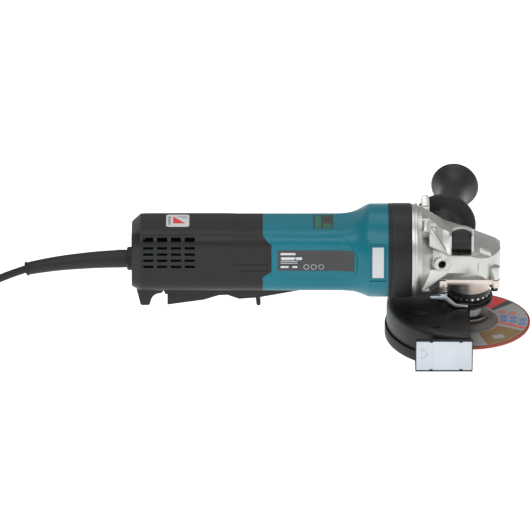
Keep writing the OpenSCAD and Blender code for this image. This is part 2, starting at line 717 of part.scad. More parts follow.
module guard_rivets() color("gray") home() for (p = rivets) {
  zcyl(1.6, guard_top - 3.6, guard_top - 0.5, p[0], p[1]);
  zcyl(2.6, guard_top - 1 + eps, guard_top, p[0], p[1]);
  zcyl(2.6, guard_top - 4, guard_top - 3 - eps, p[0], p[1]);
}

// the cover's box for its latch, on the near side
latch_x = [-56, 2];
latch_y = -guard_r - 4.2;

module clip_cover() color([0.09, 0.09, 0.09]) home() {
  intersection() {
    half();
    rotate_extrude($fn = 128) polygon([[26, floor_z], [guard_r + gap + 1.5, floor_z],
      [guard_r + gap + 1.5, skirt_bottom + 9], [guard_r + gap, skirt_bottom + 9], [guard_r + gap, floor_z + cover_t],
      [26, floor_z + cover_t]]);
  }
  difference() {
    union() {
      box(latch_x[0], latch_x[1], latch_y, latch_y + 2, floor_z, guard_top - 4);
      box(latch_x[0], latch_x[1], latch_y, -60, floor_z, floor_z + cover_t);
      for (z = [floor_z, guard_top - 5.5]) box(latch_x[0], latch_x[1], latch_y - 1.4, latch_y + 2, z, z + 1.5);
    }
    zcyl(guard_r + gap, floor_z + cover_t, 0);
  }
}

module latch_plate() color([0.75, 0.77, 0.8]) home() difference() {
  box(latch_x[0] + 1, latch_x[1] - 1, latch_y - 1.3, latch_y - eps, floor_z + 1.6, guard_top - 5.6);
  for (x = [latch_x[0] + 16, latch_x[1] - 12], z = [floor_z + 1.6, guard_top - 5.6])
    box(x - 1.5, x + 1.5, latch_y - 3, latch_y + 1, z - 1.2, z + 1.2);
}

module guard_lever() color([0.6, 0.6, 0.58]) home() difference() {
  union() {
    zcyl(4.4, lever_z - 2.2, lever_z + 1.6, lever_x, lever_y);
    translate([0, 0, lever_z - 2.2]) linear_extrude(2.2) polygon([[lever_x - 4.2, lever_y + 1], [lever_x - 12, -27],
      [lever_x - 13, -29], [lever_x + 4, -29], [lever_x + 4.2, lever_y]]);
    translate([0, -27.4, 0]) rotate([90, 0, 0]) linear_extrude(1.6) polygon([[lever_x - 13, lever_z],
      [lever_x + 3, lever_z], [lever_x + 13, lever_z - 9], [lever_x + 25, lever_z - 10.5],
      [lever_x + 25, lever_z - 13], [lever_x + 12, lever_z - 12.5], [lever_x + 1, lever_z - 4], [lever_x - 13, lever_z - 3]]);
  }
  zcyl(1.6 + run, lever_z - 3, lever_z + 2, lever_x, lever_y);
}

module lever_pivot() color("dimgray") home() {
  zcyl(1.6, lever_z - 2.6, box_top + 5, lever_x, lever_y);
  zcyl(3.2, lever_z - 4.2, lever_z - 2.6 + eps, lever_x, lever_y);
}

module lever_spring() color("silver") home() translate([lever_x, lever_y, lever_z + 2])
  coil_spring(3.8, 0.45, box_top - box_h - 0.1 - lever_z - 2, 3);

// ---- side handle ----
module side_grip() color([0.09, 0.09, 0.09]) home() out(1) difference() {
  rotate_extrude($fn = 64) polygon([[0, grip_seat + 1.5], [12, grip_seat + 1.5], [13.5, 5], [14.5, flange_s - 4],
    [20, flange_s], [grip_flange_r - 1, flange_s + 3], [grip_flange_r, flange_s + 4.5],
    [grip_flange_r - 0.5, flange_s + 6.5], [21, flange_s + 7.5], [grip_neck_r + 1.5, flange_s + 11],
    [grip_neck_r, flange_s + 18], [grip_neck_r + 0.8, grip_len - 58], [grip_neck_r, grip_len - 33],
    [grip_neck_r + 1, grip_len - 23], [grip_end_r - 3, grip_len - 12], [grip_end_r, grip_len - 6],
    [grip_end_r - 2, grip_len - 1.5], [grip_end_r - 7, grip_len], [0, grip_len]]);
  translate([0, 0, -1]) cylinder(r = thread_r, h = 46);
}

module handle_stud() color("silver") home() out(1) translate([0, 0, -thread_len + 1])
  cylinder(r = thread_r - 0.02, h = 44 + thread_len);

// ---- controls ----
// height of the paddle's upper face at x
function paddle_top(x) = slot_top - 1 + (x - pivot_x) * 0.068;

module switch_paddle() color([0.1, 0.1, 0.1]) home() difference() {
  union() {
    translate([0, paddle_hw, 0]) rotate([90, 0, 0]) linear_extrude(2 * paddle_hw) polygon([
      [pivot_x, paddle_top(pivot_x)], [paddle_rear, paddle_top(paddle_rear)],
      [paddle_rear, body_bottom - paddle_depth - 2], [paddle_rear + 37, body_bottom - paddle_depth + 3.5],
      [paddle_rear + 52, body_bottom - paddle_depth + 8.5], [paddle_rear + 61, body_bottom - paddle_depth + 9],
      [paddle_rear + 73, body_bottom - paddle_depth + 4.5], [paddle_rear + 92, body_bottom - paddle_depth + 6],
      [pivot_x - 14, body_bottom - 1.5], [pivot_x, pivot_z - 3]]);
    ycyl(3, -paddle_hw, paddle_hw, pivot_x, pivot_z);
  }
  ycyl(pin_r + run, -paddle_hw - 1, paddle_hw + 1, pivot_x, pivot_z);
  box(lock_x - 9, lock_x + 4.5, -3.5, 3.5, -80, lock_z + 4.5);
  ycyl(1.2 + run, -6, 6, lock_x, lock_z);
}

module paddle_pin() color("silver") home() ycyl(pin_r, -slot_hw - 1.9, slot_hw + 1.9, pivot_x, pivot_z);

module lock_off_lever() color([0.12, 0.12, 0.12]) home() union() {
  ycyl(1.2, -5.8, 5.8, lock_x, lock_z);
  ycyl(2.8, -3, 3, lock_x, lock_z);
  translate([0, 3, 0]) rotate([90, 0, 0]) linear_extrude(6) polygon([[lock_x - 2.8, lock_z], [lock_x - 1, lock_z - 17],
    [lock_x + 0.5, lock_z - 18.5], [lock_x + 3.2, lock_z - 17.5], [lock_x + 2.8, lock_z]]);
}

module lock_button() color([0.12, 0.12, 0.12]) home() {
  zcyl(button_r, button_top - 6, button_top, button_x, button_y);
  zcyl(2.4, -1.5, button_top - 6 + eps, button_x, button_y);
}

module lock_spring() color("silver") home() translate([button_x, button_y, button_seat + 0.05])
  coil_spring(4.4, 0.45, button_top - 6.1 - button_seat, 3);

// ---- cord ----
module cord_guard() color([0.08, 0.08, 0.08]) home() union() {
  xcyl(9.1, boss_rear - 3, rear_x + 5, 0, -9.5);
  sweep(guard_path, [9.2, 8.7, 8.1, 7.4, 6.8, 6.4], [0, 1, 0], 12);
}

module power_cord() color([0.07, 0.07, 0.07]) home() {
  sweep(cord_path, [for (p = cord_path) cord_d / 2], [0, 1, 0], 10);
  sweep(lead_path, [for (p = lead_path) cord_d / 2], [0, 0, 1], 10);
}

module cord_coil() color([0.07, 0.07, 0.07]) home() translate([coil_c[0], coil_c[1], floor_z]) rotate_extrude()
  translate([coil_r - coil_cols * cord_d / 2, 0]) square([coil_cols * cord_d, coil_rows * cord_d]);

module cord_tie() color([0.05, 0.05, 0.05]) home() translate([coil_c[0] + coil_r, coil_c[1], floor_z]) difference() {
  box(-coil_cols * cord_d / 2 - 1.6, coil_cols * cord_d / 2 + 1.6, -6, 6, 0.01, coil_rows * cord_d + 1.6);
  box(-coil_cols * cord_d / 2 - 0.5, coil_cols * cord_d / 2 + 0.5, -7, 7, -1, coil_rows * cord_d + 0.05);
}

module plug_body() color([0.07, 0.07, 0.07]) home() {
  ycyl(5.5, plug_y - 9, plug_y + eps, plug_x, plug_z);
  box(plug_x - 10, plug_x + 10, plug_y, plug_y + 36, plug_z - plug_hh, plug_z + plug_hh);
  for (s = [-1, 1]) ycyl(plug_hh, plug_y, plug_y + 36, plug_x + s * 10, plug_z);
}

module plug_pins() color("silver") home() for (s = [-1, 1])
  ycyl(2.4, plug_y + 36, plug_y + 55, plug_x + 9.5 * s, plug_z);

motor_housing();
fan_ring();
fan_baffle();
rear_shell_near();
rear_shell_far();
rear_shell_screws();
gear_housing();
gear_housing_screws();
bearing_box();
bearing_box_screws();
dust_seal();
stator_core();
field_coils();
armature_shaft();
armature_core();
armature_windings();
commutator();
cooling_fan();
pinion();
pinion_nut();
armature_inner_rings();
bearing_outer_rings();
bearing_balls();
needle_bearing();
brush_holders();
carbon_brushes();
brush_springs();
switch_body();
switch_plunger();
speed_module();
capacitor();
cord_clamp();
spindle();
bevel_gear();
spindle_inner_ring();
inner_flange();
abrasive_wheel();
lock_nut();
wheel_guard();
guard_rivets();
clip_cover();
latch_plate();
guard_lever();
lever_pivot();
lever_spring();
side_grip();
handle_stud();
switch_paddle();
paddle_pin();
lock_off_lever();
lock_button();
lock_spring();
cord_guard();
power_cord();
cord_coil();
cord_tie();
plug_body();
plug_pins();
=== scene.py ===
"""Looks of the angle grinder: shells, guard, wheel, handle and cord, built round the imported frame."""
import math

import bpy
from mathutils import Matrix, Vector


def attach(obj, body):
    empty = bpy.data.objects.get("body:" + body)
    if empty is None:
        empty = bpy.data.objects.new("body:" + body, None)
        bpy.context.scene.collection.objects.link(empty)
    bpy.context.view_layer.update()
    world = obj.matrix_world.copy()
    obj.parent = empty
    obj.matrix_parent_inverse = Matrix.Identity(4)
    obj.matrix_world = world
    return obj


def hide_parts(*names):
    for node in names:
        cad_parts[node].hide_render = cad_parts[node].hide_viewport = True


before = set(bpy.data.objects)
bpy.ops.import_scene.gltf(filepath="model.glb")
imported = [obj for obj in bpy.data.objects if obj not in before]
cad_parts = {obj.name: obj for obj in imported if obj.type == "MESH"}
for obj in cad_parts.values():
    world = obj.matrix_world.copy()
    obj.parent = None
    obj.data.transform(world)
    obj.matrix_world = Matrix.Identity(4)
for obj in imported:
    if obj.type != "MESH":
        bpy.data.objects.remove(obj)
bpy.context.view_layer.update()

# ---- places: millimetres from the spindle axis, the motor's middle plane and the motor axis ----
MM = 0.001
ORIGIN = (0, 0, 0)
UP = (0, 0, 1)
ALONG = (1, 0, 0)
THREAD_X = -28.6
HEAD_HW = 34.0
FLOOR_Z = -93.3
SPLIT_X = -210.0
REAR_X = -343.0
BODY_ZC = -2.0
BODY_HW = 33.0
BODY_HH = 33.5
BODY_R = 16.0
BODY_BOTTOM = BODY_ZC - BODY_HH
SLOT_TOP = BODY_BOTTOM + 4.2
BARREL_R = 47.6
RING_REAR = -83.0
GUARD_TOP = -54.0
GUARD_R = 84.0
WHEEL_TOP = -79.0
WHEEL_R = 62.5
CORD_D = 8.0
LABEL_FOOT = 31.3     # labels on the flat top of the body
LABEL_TOP = 31.62
MARK_FOOT = 31.5
MARK_TOP = 31.66


def at(x, y, z):
    """A point of the drawing, in the scene's metres."""
    return Vector(((x - THREAD_X) * MM, (y + HEAD_HW) * MM, z * MM))


# ---- camera, light and floor ----
VIEW_ANGLE = math.radians(25.93)
VIEW_DISTANCE = 8.0
VIEW_SPAN = 0.5407
look_at = at(-206.8, 0, -18.1)
bpy.ops.object.camera_add(
    location=look_at + VIEW_DISTANCE * Vector((0, -math.cos(VIEW_ANGLE), math.sin(VIEW_ANGLE))),
    rotation=(math.pi / 2 - VIEW_ANGLE, 0, 0))
camera = bpy.context.object
camera.data.lens = 36 * VIEW_DISTANCE / VIEW_SPAN
camera.data.clip_end = 60
bpy.context.scene.camera = camera


def area_light(name, place, aim, size, power, tint=(1, 1, 1)):
    direction = (aim - place).to_track_quat("-Z", "Y").to_euler()
    bpy.ops.object.light_add(type="AREA", location=place, rotation=direction)
    lamp = bpy.context.object
    lamp.name = name
    lamp.data.shape = "RECTANGLE"
    lamp.data.size = size[0]
    lamp.data.size_y = size[1]
    lamp.data.energy = power
    lamp.data.color = tint


middle = at(-150, 0, -20)
area_light("key_light", middle + Vector((-0.3, -0.75, 1.35)), middle, (1.5, 0.8), 9.5)
area_light("top_light", middle + Vector((0.1, 0.5, 1.5)), middle, (1.6, 0.9), 7)
area_light("side_light", middle + Vector((1.3, -0.5, 0.5)), middle, (0.6, 0.9), 3)
area_light("low_light", middle + Vector((-0.2, -1.5, 0.25)), middle, (1.6, 0.5), 3)
world = bpy.data.worlds.new("studio")
world.use_nodes = True
world.node_tree.nodes["Background"].inputs["Color"].default_value = (1, 1, 1, 1)
world.node_tree.nodes["Background"].inputs["Strength"].default_value = 0.42
bpy.context.scene.world = world
bpy.context.scene.view_settings.view_transform = "Standard"


# ---- materials ----
def shader(name, colour, rough=0.5, metallic=0.0, **sockets):
    """A new material with its principled shader set; returns the material, its nodes and the shader."""
    mat = bpy.data.materials.new(name)
    mat.use_nodes = True
    tree = mat.node_tree
    bsdf = tree.nodes["Principled BSDF"]
    bsdf.inputs["Base Color"].default_value = (*colour, 1)
    bsdf.inputs["Roughness"].default_value = rough
    bsdf.inputs["Metallic"].default_value = metallic
    for key, value in sockets.items():
        bsdf.inputs[key.replace("_", " ")].default_value = value
    return mat, tree, bsdf


def noise(tree, scale, detail=4, stretch=(1, 1, 1)):
    """Noise in the object's own metres, stretched where a finish has a direction."""
    coords = tree.nodes.new("ShaderNodeTexCoord")
    mapping = tree.nodes.new("ShaderNodeMapping")
    mapping.inputs["Scale"].default_value = stretch
    tex = tree.nodes.new("ShaderNodeTexNoise")
    tex.inputs["Scale"].default_value = scale
    tex.inputs["Detail"].default_value = detail
    tree.links.new(coords.outputs["Object"], mapping.inputs["Vector"])
    tree.links.new(mapping.outputs["Vector"], tex.inputs["Vector"])
    return tex


def vary_colour(tree, bsdf, tex, dark, light):
    ramp = tree.nodes.new("ShaderNodeValToRGB")
    ramp.color_ramp.elements[0].position = 0.3
    ramp.color_ramp.elements[0].color = (*dark, 1)
    ramp.color_ramp.elements[1].position = 0.7
    ramp.color_ramp.elements[1].color = (*light, 1)
    tree.links.new(tex.outputs["Fac"], ramp.inputs["Fac"])
    tree.links.new(ramp.outputs["Color"], bsdf.inputs["Base Color"])


def vary_rough(tree, bsdf, tex, low, high):
    span = tree.nodes.new("ShaderNodeMapRange")
    span.inputs["From Min"].default_value = 0.3
    span.inputs["From Max"].default_value = 0.7
    span.inputs["To Min"].default_value = low
    span.inputs["To Max"].default_value = high
    tree.links.new(tex.outputs["Fac"], span.inputs["Value"])
    tree.links.new(span.outputs["Result"], bsdf.inputs["Roughness"])


def bumps(tree, bsdf, *layers):
    """Chains bump layers, each (texture, output, strength, height in metres)."""
    last = None
    for tex, output, strength, height in layers:
        bump = tree.nodes.new("ShaderNodeBump")
        bump.inputs["Strength"].default_value = strength
        bump.inputs["Distance"].default_value = height
        tree.links.new(tex.outputs[output], bump.inputs["Height"])
        if last:
            tree.links.new(last.outputs["Normal"], bump.inputs["Normal"])
        last = bump
    tree.links.new(last.outputs["Normal"], bsdf.inputs["Normal"])


def moulded(name, dark, light, rough, grain=1800, depth=0.00008, spread=0.06, **sockets):
    """Moulded plastic or rubber: a fine spark-eroded grain, with slow changes of colour and gloss."""
    mat, tree, bsdf = shader(name, light, rough, **sockets)
    slow = noise(tree, 14, 3)
    fine = noise(tree, grain, 3)
    vary_colour(tree, bsdf, slow, dark, light)
    vary_rough(tree, bsdf, slow, rough - spread, rough + spread)
    bumps(tree, bsdf, (fine, "Fac", 0.35, depth))
    return mat


def metal(name, dark, light, rough, stretch=(1, 1, 1), grain=900, depth=0.00005, spread=0.08, **sockets):
    """Bare or plated metal: a cast or brushed grain under a slow change of tone."""
    mat, tree, bsdf = shader(name, light, rough, 1.0, **sockets)
    slow = noise(tree, 22, 4)
    fine = noise(tree, grain, 3, stretch)
    vary_colour(tree, bsdf, slow, dark, light)
    vary_rough(tree, bsdf, fine, rough - spread, rough + spread)
    bumps(tree, bsdf, (fine, "Fac", 0.4, depth))
    return mat


TEAL = moulded("teal_plastic", (0.0, 0.13, 0.178), (0.0, 0.155, 0.21), 0.33, grain=1400, depth=0.00005,
               Specular_IOR_Level=0.3)
BLACK = moulded("black_plastic", (0.007, 0.007, 0.0075), (0.0105, 0.01, 0.0105), 0.42,
                Specular_IOR_Level=0.32)
BLACK_MATT = moulded("matt_black_plastic", (0.007, 0.007, 0.0075), (0.0105, 0.0105, 0.011), 0.5,
                     Specular_IOR_Level=0.34)
RUBBER = moulded("black_rubber", (0.008, 0.008, 0.0085), (0.012, 0.012, 0.0125), 0.5, grain=900,
                 Specular_IOR_Level=0.36)
GRIP = moulded("grip_rubber", (0.009, 0.009, 0.0095), (0.014, 0.014, 0.0145), 0.46, grain=1200,
               Specular_IOR_Level=0.4)
PAINT = moulded("black_paint", (0.006, 0.006, 0.0065), (0.0095, 0.0095, 0.01), 0.36, grain=500, depth=0.00006,
                Specular_IOR_Level=0.34)
PAINT_GLOSS = moulded("gloss_black_paint", (0.004, 0.004, 0.0045), (0.007, 0.007, 0.0075), 0.16, grain=300)
CAST = metal("die_cast_aluminium", (0.47, 0.475, 0.45), (0.56, 0.565, 0.535), 0.38)
CAST_WARM = metal("warm_cast_aluminium", (0.55, 0.49, 0.45), (0.66, 0.59, 0.545), 0.36)
STEEL = metal("ground_steel", (0.42, 0.41, 0.4), (0.6, 0.59, 0.57), 0.28, (1, 1, 14))
DARK_STEEL = metal("dark_steel", (0.14, 0.135, 0.13), (0.24, 0.235, 0.23), 0.32, (1, 1, 14))
ZINC = metal("zinc_plate", (0.45, 0.49, 0.535), (0.53, 0.57, 0.615), 0.4, (1, 1, 6), grain=500)
BLACK_STEEL = metal("black_oxide_steel", (0.03, 0.03, 0.03), (0.06, 0.06, 0.06), 0.38)
COPPER = metal("copper_wire", (0.5, 0.2, 0.08), (0.72, 0.33, 0.14), 0.35, (10, 1, 1))
IRON = metal("laminated_iron", (0.22, 0.22, 0.23), (0.33, 0.33, 0.34), 0.45, (40, 1, 1), grain=400)
BRASS = metal("brass", (0.6, 0.42, 0.17), (0.75, 0.55, 0.25), 0.3)
FELT = moulded("felt", (0.2, 0.13, 0.07), (0.32, 0.22, 0.13), 0.85, grain=700, depth=0.0003)
FAN_PLASTIC = moulded("pale_plastic", (0.55, 0.54, 0.5), (0.68, 0.67, 0.63), 0.45)
RED_PLASTIC = moulded("red_plastic", (0.35, 0.02, 0.02), (0.48, 0.04, 0.03), 0.35)
CREAM = moulded("cream_plastic", (0.6, 0.54, 0.36), (0.7, 0.64, 0.45), 0.4)
GREEN_BOARD = moulded("potted_board", (0.01, 0.04, 0.025), (0.02, 0.07, 0.045), 0.3)
LABEL_DARK = moulded("label_charcoal", (0.022, 0.022, 0.025), (0.034, 0.034, 0.038), 0.3, grain=300)
LABEL_WHITE = moulded("label_white", (0.5, 0.52, 0.54), (0.6, 0.62, 0.64), 0.35, grain=300)
LABEL_RED = moulded("label_red", (0.62, 0.02, 0.02), (0.72, 0.035, 0.03), 0.35, grain=300)
LABEL_GREEN = moulded("label_green", (0.0, 0.1, 0.06), (0.005, 0.15, 0.09), 0.35, grain=300)
ABRASIVE = moulded("abrasive_rim", (0.2, 0.035, 0.02), (0.34, 0.06, 0.035), 0.8, grain=900, depth=0.0004)
HUB_GREY = moulded("abrasive_hub", (0.085, 0.08, 0.075), (0.13, 0.12, 0.115), 0.8, grain=1100, depth=0.0004)
PAPER_GREY = moulded("label_grey", (0.27, 0.27, 0.265), (0.33, 0.33, 0.325), 0.6, grain=700)
PRINT_GOLD = moulded("print_gold", (0.19, 0.115, 0.045), (0.26, 0.16, 0.065), 0.5, grain=700)
PRINT_ORANGE = moulded("print_orange", (0.55, 0.075, 0.04), (0.65, 0.105, 0.055), 0.5, grain=700)
PRINT_BLUE = moulded("print_blue", (0.03, 0.12, 0.4), (0.05, 0.17, 0.5), 0.5, grain=700)

# the inner pieces and the small hardware keep their own meshes
INNER_FINISHES = {"fan_baffle": BLACK_MATT, "rear_shell_screws": BLACK_STEEL, "dust_seal": FELT,
                  "stator_core": IRON, "field_coils": COPPER, "armature_shaft": STEEL,
                  "armature_core": IRON, "armature_windings": COPPER, "commutator": BRASS,
                  "cooling_fan": FAN_PLASTIC, "pinion": STEEL, "pinion_nut": STEEL,
                  "armature_inner_rings": STEEL, "bearing_outer_rings": STEEL, "bearing_balls": STEEL,
                  "needle_bearing": STEEL, "brush_holders": BLACK_MATT, "carbon_brushes": BLACK_MATT,
                  "brush_springs": BRASS, "switch_body": BLACK_MATT, "switch_plunger": RED_PLASTIC,
                  "speed_module": GREEN_BOARD, "capacitor": CREAM, "cord_clamp": BLACK_MATT,
                  "spindle": STEEL, "bevel_gear": STEEL, "spindle_inner_ring": STEEL,
                  "guard_rivets": BLACK_STEEL, "lever_pivot": BLACK_STEEL, "lever_spring": STEEL,
                  "handle_stud": ZINC, "paddle_pin": STEEL, "lock_spring": STEEL,
                  "gear_housing_screws": BLACK_STEEL, "plug_pins": STEEL}
for node, material in INNER_FINISHES.items():
    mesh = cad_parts[node].data
    mesh.materials.clear()
    mesh.materials.append(material)


# ---- modelling helpers ----
def alone(obj):
    bpy.ops.object.select_all(action="DESELECT")
    obj.select_set(True)
    bpy.context.view_layer.objects.active = obj
    return obj


def place_in_mesh(obj):
    alone(obj)
    bpy.ops.object.transform_apply(location=True, rotation=True, scale=True)
    return obj


def modify(obj, kind, **settings):
    """Adds one modifier and applies it."""
    alone(obj)
    modifier = obj.modifiers.new(kind.lower(), kind)
    for key, value in settings.items():
        setattr(modifier, key, value)
    bpy.ops.object.modifier_apply(modifier=modifier.name)
    return obj


def edit(obj, *steps):
    """Runs edit-mode steps on the whole mesh."""
    alone(obj)
    bpy.ops.object.mode_set(mode="EDIT")
    bpy.ops.mesh.select_all(action="SELECT")
    for step in steps:
        step()
    bpy.ops.object.mode_set(mode="OBJECT")
    return obj


def outward(obj):
    return edit(obj, lambda: bpy.ops.mesh.remove_doubles(threshold=1e-6),
                lambda: bpy.ops.mesh.normals_make_consistent(inside=False))


def bevelled(obj, width, segments, **settings):
    """Rounds the sharp edges by a width in millimetres."""
    return modify(obj, "BEVEL", width=width * MM, segments=segments, limit_method="ANGLE", **settings)


def soften(obj, width, segments=2, angle=30, smooth=40):
    """Rounds the edges by a width in millimetres and shades the mesh smooth by angle."""
    modify(obj, "BEVEL", width=width * MM, segments=segments, limit_method="ANGLE",
           angle_limit=math.radians(angle), use_clamp_overlap=True, harden_normals=False)
    alone(obj)
    bpy.ops.object.shade_smooth_by_angle(angle=math.radians(smooth))
    return obj


def join(name, objs):
    bpy.ops.object.select_all(action="DESELECT")
    for obj in objs:
        obj.select_set(True)
    bpy.context.view_layer.objects.active = objs[0]
    if len(objs) > 1:
        bpy.ops.object.join()
    objs[0].name = name
    return objs[0]


def cut(obj, tool, operation="DIFFERENCE"):
    """One boolean step; the tool is used up."""
    modify(obj, "BOOLEAN", object=tool, operation=operation, solver="EXACT")
    bpy.data.objects.remove(tool, do_unlink=True)
    return obj


def block(name, low, high):
    """A box between two corners of the drawing."""
    bpy.ops.mesh.primitive_cube_add(size=1, location=(at(*low) + at(*high)) / 2)
    obj = bpy.context.object
    obj.name = name
    obj.scale = [(b - a) * MM for a, b in zip(low, high)]
    return place_in_mesh(obj)


def rod(name, radius, start, end, sides=48):
    """A round bar between two points of the drawing."""
    a, b = at(*start), at(*end)
    bpy.ops.mesh.primitive_cylinder_add(vertices=sides, radius=radius * MM, depth=(b - a).length,
                                        location=(a + b) / 2, rotation=(b - a).to_track_quat("Z",
                                                                                             "Y").to_euler())
    obj = bpy.context.object
    obj.name = name
    return place_in_mesh(obj)


def outline(name, points, low, high, axis="Y"):
    """A flat outline swept straight along one axis; points are the other two coordinates, in order."""
    seat = {"Y": lambda p, d: at(p[0], d, p[1]), "Z": lambda p, d: at(p[0], p[1], d),
            "X": lambda p, d: at(d, p[0], p[1])}[axis]
    mesh = bpy.data.meshes.new(name)
    mesh.from_pydata([seat(p, low) for p in points], [], [list(range(len(points)))])
    obj = bpy.data.objects.new(name, mesh)
    bpy.context.collection.objects.link(obj)
    way = {"Y": (0, 1, 0), "Z": (0, 0, 1), "X": (1, 0, 0)}[axis]
    depth = Vector(way) * (high - low) * MM
    edit(obj, lambda: bpy.ops.mesh.extrude_region_move(TRANSFORM_OT_translate={"value": depth}))
    return outward(obj)


def turned(name, profile, place, way=(0, 0, 1), steps=96):
    """A lathe form: profile is (radius, distance along the axis), spun a full turn about it."""
    mesh = bpy.data.meshes.new(name)
    mesh.from_pydata([Vector((r * MM, 0, s * MM)) for r, s in profile],
                     [(i, i + 1) for i in range(len(profile) - 1)], [])
    obj = bpy.data.objects.new(name, mesh)
    bpy.context.collection.objects.link(obj)
    edit(obj, lambda: bpy.ops.mesh.spin(steps=steps, angle=2 * math.pi, center=(0, 0, 0), axis=(0, 0, 1)))
    outward(obj)
    obj.rotation_euler = Vector(way).to_track_quat("Z", "Y").to_euler()
    obj.location = at(*place)
    return place_in_mesh(obj)


def copy_of(node, name):
    """A merged copy of a node's own mesh, for rounding its edges."""
    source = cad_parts[node]
    obj = bpy.data.objects.new(name, source.data.copy())
    bpy.context.collection.objects.link(obj)
    obj.data.materials.clear()
    return edit(obj, lambda: bpy.ops.mesh.remove_doubles(threshold=2e-6),
                lambda: bpy.ops.mesh.dissolve_limited(angle_limit=math.radians(0.6)))


def dress(obj, material, body, *nodes, slot=None):
    """Gives a piece its material, its body and the nodes that it stands for."""
    if not obj.data.materials:
        obj.data.materials.append(material)
    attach(obj, body)
    if nodes:
        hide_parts(*nodes)
    return obj


# ---- cord: the strain relief, the free run, the coil and the plug ----
GUARD_PATH = [(-351, 0, -9.7), (-372, 0, -10.6), (-395, 0, -12.5), (-418, 0, -15.2), (-438, 0, -18.7),
              (-451, 0, -21.5)]
CORD_PATH = [(-451, 0, -21.5), (-460, 0, -24.8), (-470, 0, -28.8), (-480, 0, -33.3), (-490, 0, -38.4),
             (-500, 0, -43.9), (-510, 0, -49.5), (-519, 0, -55), (-528, 0, -60.8), (-536, 0, -65.5),
             (-543, 0, -69.5), (-550, 0, -72), (-557, 0, -73.2)]
PLUG_X, PLUG_Y, PLUG_Z = -616, 47, -60.8
COIL_X, COIL_Y, COIL_R = -566, 48, 48
COIL_STEPS = 24
TURNS = [(0, 2), (-1, 2), (-1, 1), (-1, 0), (0, 0), (1, 0), (1, 1)]
MOVE = 0.11           # share of a turn in which the cord slips to its next place
LEAD_ARC = 80
LEAD_STEPS = 8
LEAD_END_R = 50


def coil_points():
    """The turns, each in its own place of the stack; a turn slips on before the one under it does."""
    points = []
    for step in range(len(TURNS) * COIL_STEPS + 1):
        turn = min(step // COIL_STEPS, len(TURNS) - 1)
        part = step / COIL_STEPS - turn
        column, layer = TURNS[turn]
        if turn + 1 < len(TURNS):
            slip = min(max((part - 0.84 + MOVE * turn) / MOVE, 0), 1)
            slip = slip * slip * (3 - 2 * slip)
            column += (TURNS[turn + 1][0] - column) * slip
            layer += (TURNS[turn + 1][1] - layer) * slip
        angle = -math.pi / 2 - 2 * math.pi * step / COIL_STEPS
        radius = COIL_R + column * CORD_D
        points.append((COIL_X + radius * math.cos(angle), COIL_Y + radius * math.sin(angle),
                       FLOOR_Z + CORD_D * (0.5 + layer)))
    return points


def lead_points():
    """From the last turn, outside in the second layer, up to the plug on top of the coil."""
    low = FLOOR_Z + 1.5 * CORD_D
    points = []
    for i in range(1, LEAD_STEPS + 1):
        part = i / LEAD_STEPS
        rise = part ** 2 * (3 - 2 * part)
        angle = -math.radians(90 + LEAD_ARC * part)
        radius = COIL_R + CORD_D + (LEAD_END_R - COIL_R - CORD_D) * rise
        points.append((COIL_X + radius * math.cos(angle), COIL_Y + radius * math.sin(angle),
                       low + (PLUG_Z - low) * rise))
    return points + [(PLUG_X, PLUG_Y - 1, PLUG_Z)]


def curve_along(name, points, radius, radii=None):
    """A round smooth curve through points of the drawing."""
    data = bpy.data.curves.new(name, "CURVE")
    data.dimensions = "3D"
    data.bevel_depth = radius * MM
    data.bevel_resolution = 5
    data.resolution_u = 5
    data.use_fill_caps = True
    line = data.splines.new("BEZIER")
    line.bezier_points.add(len(points) - 1)
    for i, (knot, point) in enumerate(zip(line.bezier_points, points)):
        knot.co = at(*point)
        knot.handle_left_type = knot.handle_right_type = "AUTO"
        if radii:
            knot.radius = radii[i]
    obj = bpy.data.objects.new(name, data)
    bpy.context.collection.objects.link(obj)
    return obj


cord_points = CORD_PATH + coil_points() + lead_points()
cord = curve_along("cord_run", cord_points, CORD_D / 2)
dress(cord, RUBBER, "housing", "power_cord", "cord_coil", slot="power_cord")

# strain relief: a long tapered sleeve with a rolled lip at its end
SLEEVE_RADII = [9.2, 8.8, 8.2, 7.5, 6.9, 6.4]
relief = curve_along("cord_sleeve", GUARD_PATH, 1.0, SLEEVE_RADII)
relief.data.bevel_resolution = 10
sleeve_way = (at(*GUARD_PATH[-1]) - at(*GUARD_PATH[-2])).normalized()
bpy.ops.mesh.primitive_torus_add(major_radius=6.3 * MM, minor_radius=1.1 * MM,
                                 major_segments=48, minor_segments=12, location=at(-449.5, 0, -21.1),
                                 rotation=sleeve_way.to_track_quat("Z", "Y").to_euler())
sleeve_lip = bpy.context.object
bpy.ops.mesh.primitive_cylinder_add(vertices=64, radius=9.1 * MM, depth=22 * MM, location=at(-348, 0, -9.6),
                                    rotation=(0, math.pi / 2, 0))
sleeve_root = bpy.context.object
alone(relief)
bpy.ops.object.convert(target="MESH")
for obj in (sleeve_lip, sleeve_root):
    place_in_mesh(obj)
relief = join("cord_sleeve", [relief, sleeve_lip, sleeve_root])
alone(relief)
bpy.ops.object.shade_smooth_by_angle(angle=math.radians(40))
dress(relief, RUBBER, "housing", "cord_guard", slot="cord_guard")

